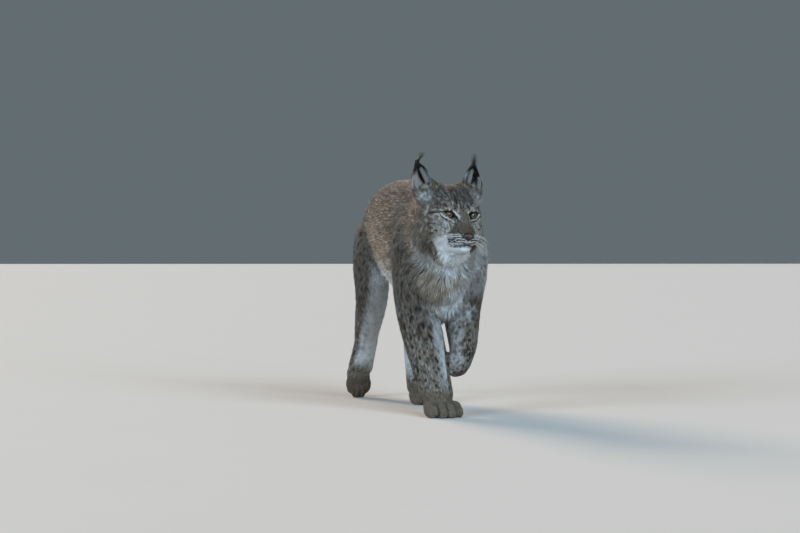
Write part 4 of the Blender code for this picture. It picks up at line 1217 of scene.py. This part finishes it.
def mottled(name, settings, hexColour, scale, detail, levels, places=(0.0, 1.0)):
    # one colour between two levels of brightness, in soft clouds
    material, tree, shader = newMaterial(name, settings)
    spot = addNode(tree, "TexCoord")
    cloud = addNode(tree, "TexNoise", {"Scale": scale, "Detail": detail}, {"Vector": spot.outputs["Object"]})
    ramp = addNode(tree, "ValToRGB", None, {"Fac": cloud.outputs["Fac"]})
    for element, position, level in zip(ramp.color_ramp.elements, places, levels):
        element.position = position
        element.color = (*(linear(hexColour) * level), 1)
    tree.links.new(ramp.outputs["Color"], shader.inputs["Base Color"])
    return material, tree, shader, ramp.outputs["Color"], spot.outputs["Object"]


leather = {
    "nose": "#482C25",
    "noseEdge": "#1C1311",
    "rim": "#0E0A09",
    "pad": "#2A1F1C",
    "pore": 1.1,  # millimetres between the pebbles of the nose
}


def leatherMaterial(name, hexColour, roughness, edge=None):
    # bare moist skin: a soft shine over small pebbles
    look = {"Roughness": roughness, "Specular IOR Level": 0.5}
    made = mottled(name, look, hexColour, 160.0, 3.0, (0.75, 1.12), (0.35, 0.65))
    material, tree, shader, colour, spot = made
    pebbles = addNode(tree, "TexVoronoi", {"Scale": 1000 / leather["pore"]}, {"Vector": spot})
    if edge:
        dark = addNode(tree, "Attribute", {"attribute_name": "edge"})
        blend = addNode(tree, "Mix", {"data_type": "RGBA"}, {"Factor": dark.outputs["Fac"]})
        tree.links.new(colour, blend.inputs[6])
        blend.inputs[7].default_value = rgba(edge)
        tree.links.new(blend.outputs[2], shader.inputs["Base Color"])
    bump = addNode(tree, "Bump", {"Strength": 0.5, "Distance": 0.0004},
                   {"Height": pebbles.outputs["Distance"]})
    tree.links.new(bump.outputs["Normal"], shader.inputs["Normal"])
    return material


eyeLook = {
    "pupil": 0.175, "iris": 0.66, "limbus": 0.72,  # radii as shares of the eyeball's
    "amber": "#54452E", "amberDark": "#261B10", "gold": "#6C5A3A", "black": "#050404", "white": "#3A2A22",
    "fibres": 60.0,
}


def eyeMaterial():
    # the cornea's wet gloss over an amber iris with radial fibres and a round pupil
    material, tree, shader = newMaterial("cornea", {
        "Roughness": 0.15, "Specular IOR Level": 0.35, "IOR": 1.38,
        "Coat Weight": 0.45, "Coat Roughness": 0.03,
    })
    spot = addNode(tree, "TexCoord")
    parts = addNode(tree, "SeparateXYZ", None, {"Vector": spot.outputs["Object"]})
    flat = addNode(tree, "CombineXYZ", None, {"X": parts.outputs["X"], "Y": parts.outputs["Y"]})
    radius = addNode(tree, "VectorMath", {"operation": "LENGTH"}, {0: flat.outputs["Vector"]})
    share = addNode(tree, "Math", {"operation": "DIVIDE", 1: headForm["eyeRadius"]},
                    {0: radius.outputs["Value"]})
    around = addNode(tree, "Math", {"operation": "ARCTAN2"},
                     {0: parts.outputs["Y"], 1: parts.outputs["X"]})
    fibre = addNode(tree, "TexNoise",
                    {"noise_dimensions": "1D", "Scale": eyeLook["fibres"] / 6.28, "Detail": 3.0},
                    {"W": around.outputs["Value"]})
    wobble = addNode(tree, "MapRange", {"To Min": -0.05, "To Max": 0.05},
                     {"Value": fibre.outputs["Fac"]})
    total = addNode(tree, "Math", {"operation": "ADD"},
                    {0: share.outputs["Value"], 1: wobble.outputs["Result"]})
    rings = addNode(tree, "ValToRGB", None, {"Fac": total.outputs["Value"]})
    pupil, iris, limbus = eyeLook["pupil"], eyeLook["iris"], eyeLook["limbus"]
    stops = [
        (pupil - 0.01, "black"), (pupil + 0.02, "amberDark"), (pupil + 0.10, "gold"), (0.48, "amber"),
        (iris - 0.04, "amberDark"), (iris, "black"), (limbus, "black"), (limbus + 0.05, "white"),
    ]
    ramp = rings.color_ramp
    while len(ramp.elements) < len(stops):
        ramp.elements.new(0.5)
    for element, (position, name) in zip(ramp.elements, stops):
        element.position = position
        element.color = rgba(eyeLook[name])
    tree.links.new(rings.outputs["Color"], shader.inputs["Base Color"])
    return material


def keratinMaterial(name, hexColour):
    # a whisker: stiff clear keratin with a thin shine
    return mottled(name, {"Roughness": 0.35, "Specular IOR Level": 0.5}, hexColour, 90.0, 2.0, (0.8, 1.0))[0]


fur = hairMaterial()
skin.data.materials.clear()
skin.data.materials.append(skinMaterial())
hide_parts("head", "ear_left", "ear_right", *bodyNodes)
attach(skin, bodyName)
print("materials made")


# The coat, in pieces

coatForm = {
    "longFrom": 0.0165,  # hair from this length on is drawn with a bend
    "longSpacing": 0.0031,
    "shortSpacing": 0.0021,
    "faceSpacing": 0.0017,
    "ruffSpacing": 0.0019,
    "hairWidth": 0.0006,
    "widthGrowth": 0.022,  # added width for each metre of length
    "lift": 17.0,  # degrees from the skin
    "tailLift": 6.0,  # added on the tail
    "faceLift": 15.0,
    "ruffLift": 14.0,
    "faceHair": (0.0007, 0.055),  # width and its growth with length
    "ruffHair": (0.010, 0.022),  # length and what the middle of the ruff adds
    "pieceTriangles": 190000,
}


def addPiece(obj):
    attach(obj, bodyName)


def addShapes(name, shapes, material):
    mesh = meshFrom(name, *joined(shapes))
    mesh.shade_smooth()
    addPiece(newObject(name, mesh, material))


def growCoat(name, seed, columns, lifts, rings, shares, order=None):
    # tufts in even pieces under the limit; columns hold roots, normals, bake places, ways, lengths, widths
    count = len(columns[0])
    order = np.arange(count) if order is None else order
    columns = (*columns, np.broadcast_to(np.radians(lifts), count))
    trianglesEach = 6 * len(rings) - 2
    pieces = math.ceil(count * trianglesEach / coatForm["pieceTriangles"])
    for number, pick in enumerate(np.array_split(order, pieces)):
        picked = [column[pick] for column in columns]
        addPiece(tufts(name + str(number + 1), *picked, seed + number, rings, shares))
    print(name + ":", count, "tufts in", pieces, "pieces")


def coatWidths(lengths):
    return coatForm["hairWidth"] + coatForm["widthGrowth"] * lengths


def bodyCoat(name, spacing, seed, wanted, rings, shares):
    roots = seedRoots(spacing, seed, lambda m: (isHead(toHead(m)) < 0.6) & wanted(coatMap(m)[1]))
    points, normals, _ = roots
    ways, lengths, limb, _ = coatMap(points)
    names = np.array(limbNames)[limb]
    under = fade(normals[:, 2], -0.2, -0.7) * (names == "trunk")
    ways = unit(ways + np.array((0, 0.15, -0.22)) * np.isin(names, ["trunk", "neck"])[:, None])
    lengths = lengths * (1 + 0.35 * under)
    order = np.lexsort((points[:, 1], points[:, 0] > 0, limb))
    lifts = coatForm["lift"] + coatForm["tailLift"] * (names == "tail")
    growCoat(name, seed, (*roots, ways, lengths, coatWidths(lengths)), lifts, rings, shares, order)


def faceLength(local):
    # short on the nose and round the eyes, longer up the cheeks and forehead
    nose = np.linalg.norm(local - (0, -0.037, -0.055), axis=1)
    length = 0.0026 + 0.050 * np.maximum(nose - 0.016, 0)
    cheek = fade(local[:, 1], 0.030, 0.070)
    length = np.minimum(length, 0.0058 + 0.0035 * cheek)
    eye = np.linalg.norm(folded(local) - np.array(place), axis=1)
    length = np.minimum(length, 0.0020 + 0.20 * np.maximum(eye - 0.0170, 0))
    ear = fade(local[:, 2], 0.062, 0.080)
    return length * (1 - ear) + 0.0050 * ear


def ruffShare(local):
    # 1 where the long hair of the ruff and beard is rooted
    _, back, up = local.T
    around = fade(back, 0.050, 0.080) * fade(up, -0.014, -0.040)
    below = fade(up, -0.086, -0.098) * fade(back, -0.004, 0.012)
    return np.clip(around + below, 0, 1)


def clearOfEyes(points):
    # no hair between the lids or on the nose
    local = toHead(points)
    gap = folded(local) - np.array(place)
    reach = lidReach(gap[:, 0], gap[:, 2], 0.0010)
    inside = (np.hypot(gap[:, 0], gap[:, 2]) < reach) & (gap[:, 1] < 0.006)
    good = ~inside & (np.linalg.norm(gap, axis=1) > headForm["eyeRadius"] + 0.0007)
    middle = np.array(noseForm["middle"])
    nose = np.linalg.norm((local - middle) / (np.array(noseForm["sizes"]) * (0.96, 1.4, 0.96)), axis=1)
    return good & (nose > 1)


def faceCoat():
    roots = seedRoots(coatForm["faceSpacing"], 43, lambda m: isHead(toHead(m)) > 0.4)
    good = clearOfEyes(roots[0])
    roots = [column[good] for column in roots]
    local = toHead(roots[0])
    lengths = faceLength(local)
    width, growth = coatForm["faceHair"]
    columns = (*roots, headWay(local), lengths, width + growth * lengths)
    growCoat("faceCoat", 200, columns, coatForm["faceLift"], (0.0,), (1.0,))


def ruffCoat():
    roots = seedRoots(coatForm["ruffSpacing"], 47, lambda m: ruffShare(toHead(m)) > 0.25)
    keep = isHead(toHead(roots[0])) > 0.3
    roots = [column[keep] for column in roots]
    local = toHead(roots[0])
    length, more = coatForm["ruffHair"]
    lengths = length + more * ruffShare(local)
    columns = (*roots, headWay(local), lengths, coatWidths(lengths))
    growCoat("ruff", 300, columns, coatForm["ruffLift"], (0.0, 0.4, 0.75), (0.7, 1.0, 0.7))


longFrom = coatForm["longFrom"]
bodyCoat("coat", coatForm["longSpacing"], 41, lambda length: length >= longFrom, (0.0, 0.5), (0.8, 1.0))
bodyCoat("legCoat", coatForm["shortSpacing"], 61, lambda length: length < longFrom, (0.0,), (1.0,))
faceCoat()
ruffCoat()


# Eyes, each turned so that its pupil faces the same way as the lids open

def eyeBall(side):
    name = "eyeLeft" if side > 0 else "eyeRight"
    radius = headForm["eyeRadius"]
    bm = bmesh.new()
    bmesh.ops.create_uvsphere(bm, u_segments=64, v_segments=48, radius=radius - 0.0001)
    for v in bm.verts:
        # the cornea bulges a little over the iris
        if v.co.z > 0:
            share = math.hypot(v.co.x, v.co.y) / radius
            v.co.z += 0.0011 * max(0.0, 1 - (share / 0.66) ** 2)
    mesh = bpy.data.meshes.new(name)
    bm.to_mesh(mesh)
    bm.free()
    mesh.shade_smooth()
    obj = newObject(name, mesh, eyeShine)
    gaze = headTurn @ Vector((0.10 * side - 0.06, -1.0, -0.02))
    obj.rotation_euler = gaze.to_track_quat("Z", "Y").to_euler()
    obj.location = headMatrix @ Vector((place.x * side, place.y, place.z))
    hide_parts("eye_left" if side > 0 else "eye_right")
    addPiece(obj)


def lidRim(side):
    # the moist dark edge of the lids, thickest above and drawn out at the inner corner
    middle = Vector((place.x * side, place.y, place.z))
    radius = headForm["eyeRadius"] + 0.0004
    points, radii = [], []
    rim = eyeRim(side, 0.0003)
    for number in range(len(rim) + 1):
        across, up = rim[number % len(rim)]
        depth = math.sqrt(max(radius ** 2 - across ** 2 - up ** 2, 1e-6))
        points.append(headMatrix @ (middle + Vector((across, -depth, up))))
        above = float(fade(np.array(up), -0.001, 0.005))
        radii.append(0.0010 + 0.0005 * above + 0.0006 * float(fade(np.array(-across * side), 0.008, 0.012)))
    addShapes("lidRim" + ("Left" if side > 0 else "Right"), [tube(points, radii, 8)], rimLeather)


eyeShine = eyeMaterial()
rimLeather = leatherMaterial("lidLeather", leather["rim"], 0.30)
for side in (1, -1):
    eyeBall(side)
    lidRim(side)
print("eyes set")


# Nose pad with its comma nostrils, and the line of the lips

def noseWarp(x, y, z):
    # flat above, narrow below, split below by the furrow
    half = noseForm["sizes"][2]
    x *= 1 - 0.50 * (max(0.0, -z) / half) ** 1.3
    x *= 1 + 0.10 * max(0.0, z) / half
    y += math.exp(-(x / 0.0011) ** 2) * (0.0012 if z < 0.004 else 0.0004)
    y -= 0.0014 * math.exp(-((abs(x) - 0.0085) / 0.004) ** 2) * math.exp(-((z + 0.001) / 0.006) ** 2)
    return x, y, z


def nosePad():
    bm = bmesh.new()
    bmesh.ops.create_uvsphere(bm, u_segments=72, v_segments=48, radius=1.0,
                              matrix=Matrix.Diagonal((*noseForm["sizes"], 1)))
    for v in bm.verts:
        v.co = Vector(noseWarp(*v.co)) + Vector(noseForm["middle"])
    mesh = bpy.data.meshes.new("nosePad")
    bm.to_mesh(mesh)
    bm.free()
    mesh.transform(headMatrix)
    obj = newObject("nosePad", mesh, noseLeather)
    px, py, pz = noseForm["nostril"]
    for side in (1, -1):
        comma = [((px + right) * side, py + back, pz + up) for right, back, up in noseForm["comma"]]
        carve(obj, [tube(inHead(comma), noseForm["commaRadii"], 12)])
    x, _, z = toHead(pointsOf(obj.data)).T
    z = z - noseForm["middle"][2]
    edge = fade(np.hypot(x / noseForm["sizes"][0], z / noseForm["sizes"][2]), 0.62, 0.86)
    edge = np.maximum(edge, fade(z, -0.0015, -0.0055))
    for side in (1, -1):
        hole = np.hypot(x - (px + 0.001) * side, z - pz + noseForm["middle"][2])
        edge = np.maximum(edge, fade(hole, 0.0050, 0.0030))
    edge = np.maximum(edge, fade(np.abs(x), 0.0012, 0.0005) * (z < 0.002))
    layer = obj.data.color_attributes.new("edge", "FLOAT_COLOR", "POINT")
    layer.data.foreach_set("color", np.repeat(edge, 4).astype(np.float32))
    obj.data.shade_smooth()
    addPiece(obj)


noseLeather = leatherMaterial("noseLeather", leather["nose"], 0.42, leather["noseEdge"])
nosePad()
mouth = inHead(headForm["mouth"][2:-2] + (0, 0.0013, 0))
lips = [tube(mouth, metres([3, 11, 14, 11, 3]), 8), tube(inHead(headForm["philtrum"]), metres([5, 5, 6]), 8)]
addShapes("lips", lips, rimLeather)


# Whiskers, ear tufts and the long pale hair in the ears

strandForm = {
    "whiskers": 14, "whiskerLength": (0.040, 0.075), "whiskerRadius": 0.00042,
    "browLength": (0.025, 0.04), "browRadius": 0.0003,
    "tuftStrands": 46, "tuftLength": (0.024, 0.041), "tuftRadius": 0.0007,
    "tuftLean": {1: Vector((0.02, 0.06, 1.0)), -1: Vector((0.14, 0.05, 1.0))},  # left and right
}
earHairs = [
    {  # rooted along the inner edge of the hollow, and fanning out and up over it
        "count": 420, "from": (0.052, 0.081, 0.066), "along": (0.017, 0.006, 0.048), "curve": 1.3,
        "way": (0.62, 0.05, 0.85), "rise": 0.5, "shake": 0.12, "bend": (0.10, 0.10, 0.15),
        "length": (0.009, 0.019), "shorter": 0.3, "radius": 0.00022,
    },
    {  # the pale lobe along the lower outer edge
        "count": 340, "from": (0.090, 0.083, 0.056), "along": (0.006, 0.004, 0.040), "curve": 1.0,
        "way": (-0.30, -0.10, 1.0), "rise": 0.0, "shake": 0.14, "bend": (-0.10, 0.05, 0.10),
        "length": (0.007, 0.014), "shorter": 0.0, "radius": 0.00026,
    },
]
skinTree = BVHTree.FromPolygons([Vector(p) for p in skinPoints], [tuple(row) for row in skinCorners.tolist()])


def strand(start, way, bend, length, radius, steps, sides):
    points, radii = [], []
    for k in range(steps + 1):
        t = k / steps
        points.append(start + way * length * t + bend * length * t * t)
        radii.append(radius * (1 - t) ** 0.7 + 0.00004)
    return tube(points, radii, sides, 1, (0.31, 0.22, 0.91))


def planted(spot, way, bend, length, radius, steps):
    # a whisker rooted in the skin nearest to a spot in the head's frame
    near, normal, _, _ = skinTree.find_nearest(headMatrix @ Vector(spot))
    way = (headTurn @ Vector(way)).normalized()
    return strand(near - normal * 0.001, way, headTurn @ Vector(bend), length, radius, steps, 4)


def whiskers():
    source = np.random.default_rng(51)
    shapes = []
    for side in (1, -1):
        for number in range(strandForm["whiskers"]):
            row, step = number % 4, number // 4
            spot = ((0.015 + 0.0055 * step) * side, -0.036 + 0.008 * step, -0.0530 - 0.0058 * row)
            way = (side, -0.25 + 0.22 * step + source.normal(0, 0.05), 0.10 - 0.16 * row)
            bend = (-side * 0.10, 0.28, -0.32 - source.uniform(0, 0.12))
            length = source.uniform(*strandForm["whiskerLength"])
            shapes.append(planted(spot, way, bend, length, strandForm["whiskerRadius"], 8))
        for number in range(4):
            spot = ((0.026 + 0.004 * number) * side, -0.004, 0.019 + 0.001 * number)
            way = (side * (0.25 + 0.12 * number), -0.45, 0.9)
            length = source.uniform(*strandForm["browLength"])
            shapes.append(planted(spot, way, (side * 0.15, 0.35, -0.1), length, strandForm["browRadius"], 6))
    addShapes("whiskers", shapes, keratinMaterial("whiskerKeratin", "#D8D4CC"))


def earTufts():
    source = np.random.default_rng(52)
    shapes = []
    for side in (1, -1):
        matrix = earMatrix(side)
        for _ in range(strandForm["tuftStrands"]):
            x, y, _ = source.normal(0, 1, 3)
            local = earForm["tip"] + Vector((x * 0.0022, y * 0.0018, -0.004 - 0.006 * source.random()))
            way = headTurn @ (strandForm["tuftLean"][side] + Vector((x * 0.045, y * 0.045, 0))).normalized()
            bend = headTurn @ Vector((0.02 if side > 0 else source.uniform(0.15, 0.6), 0.06, -0.02))
            length = source.uniform(*strandForm["tuftLength"])
            shapes.append(strand(matrix @ local, way, bend, length, strandForm["tuftRadius"], 5, 3))
    addShapes("earTufts", shapes, keratinMaterial("tuftHair", "#17110F"))


def earHair():
    source = np.random.default_rng(53)
    shapes = []
    for side in (1, -1):
        matrix = earMatrix(side)
        for form in earHairs:
            x, y, z = form["way"]
            bend = headTurn @ Vector((form["bend"][0] * side, *form["bend"][1:]))
            for _ in range(form["count"]):
                t = source.random()
                share = np.array((t ** form["curve"], t, t))
                root = Vector(np.array(form["from"]) + np.array(form["along"]) * share)
                start = matrix @ (root + Vector(source.normal(0, 0.0022, 3)))
                across = (x + source.normal(0, form["shake"])) * side
                way = Vector((across, y + source.normal(0, 0.1), z + form["rise"] * t)).normalized()
                length = source.uniform(*form["length"]) * (1 - form["shorter"] * t)
                shapes.append(strand(start, headTurn @ way, bend, length, form["radius"], 4, 3))
    addShapes("earHair", shapes, keratinMaterial("paleEarHair", "#A9A7A3"))


whiskers()
earTufts()
earHair()
print("whiskers and ear hair made")


# Bare pads under the two lifted paws, in the paw's own frame

padForm = {
    "palm": ((0.0, 0.006, 0.0032), (0.0150, 0.0125, 0.0046)),
    "toeSizes": (0.0066, 0.0088, 0.0042),
    "toes": [(-0.0340, -0.030), (-0.0124, -0.048), (0.0124, -0.048), (0.0340, -0.030)],
}


def solePads():
    padLeather = leatherMaterial("padLeather", leather["pad"], 0.6)
    for name in ("forepawLeft", "hindpawRight"):
        matrix = pawMatrix(name)
        spread = paws[name][3]
        shapes = [ellipsoid(*padForm["palm"], matrix)]
        for x, y in padForm["toes"]:
            shapes.append(ellipsoid((x * spread, y, 0.0034), padForm["toeSizes"], matrix, 0, 20))
        addShapes(name + "Pads", shapes, padLeather)


solePads()


# Floor, light and camera

stageForm = {
    "floor": "#EDEBE8",
    "sky": "#7D8A8F",
    "skyStrength": 0.60,
    # strength, width in degrees, the way towards the lamp, and colour
    "key": (2.35, 32.0, (0.17, -0.92, 0.36), "#DAEFFF"),
    "fill": (1.85, 32.0, (-0.84, -0.50, 0.26), "#D4EBFF"),
    "rim": (1.90, 22.0, (-0.22, 0.86, 0.46), "#FFDFC0"),
    "lens": 85.59,
    "cameraPlace": (-1.5142, -5.1075, 0.41),
    "lookAcross": 16.0,  # degrees to the right of straight on
    "shift": -0.005625,
}


def floorMaterial():
    # fine matt plaster, nearly white
    look = {"Roughness": 0.9, "Specular IOR Level": 0.2}
    return mottled("palePlaster", look, stageForm["floor"], 3.0, 4.0, (0.97, 1.0))[0]


def makeStage():
    bm = bmesh.new()
    bmesh.ops.create_grid(bm, x_segments=4, y_segments=4, size=400)
    mesh = bpy.data.meshes.new("floor")
    bm.to_mesh(mesh)
    bm.free()
    floor = newObject("floor", mesh, floorMaterial())
    world = bpy.data.worlds.new("softSky")
    scene.world = world
    world.use_nodes = True
    sky = world.node_tree.nodes["Background"]
    sky.inputs["Color"].default_value = rgba(stageForm["sky"])
    sky.inputs["Strength"].default_value = stageForm["skyStrength"]
    for name in ("key", "fill", "rim"):
        strength, width, way, hexColour = stageForm[name]
        light = bpy.data.lights.new(name + "Light", "SUN")
        light.energy = strength
        light.angle = math.radians(width)
        light.color = tuple(linear(hexColour))
        obj = bpy.data.objects.new(name + "Light", light)
        obj.rotation_euler = Vector(way).to_track_quat("Z", "Y").to_euler()
        scene.collection.objects.link(obj)


def makeCamera():
    camera = bpy.data.cameras.new("camera")
    camera.sensor_width = 36
    camera.lens = stageForm["lens"]
    camera.shift_y = stageForm["shift"]
    obj = bpy.data.objects.new("camera", camera)
    obj.location = stageForm["cameraPlace"]
    obj.rotation_euler = (math.radians(90), 0, math.radians(-stageForm["lookAcross"]))
    scene.collection.objects.link(obj)
    scene.camera = obj


makeStage()
makeCamera()
scene.view_settings.view_transform = "Standard"
bpy.context.view_layer.update()
print("scene finished")
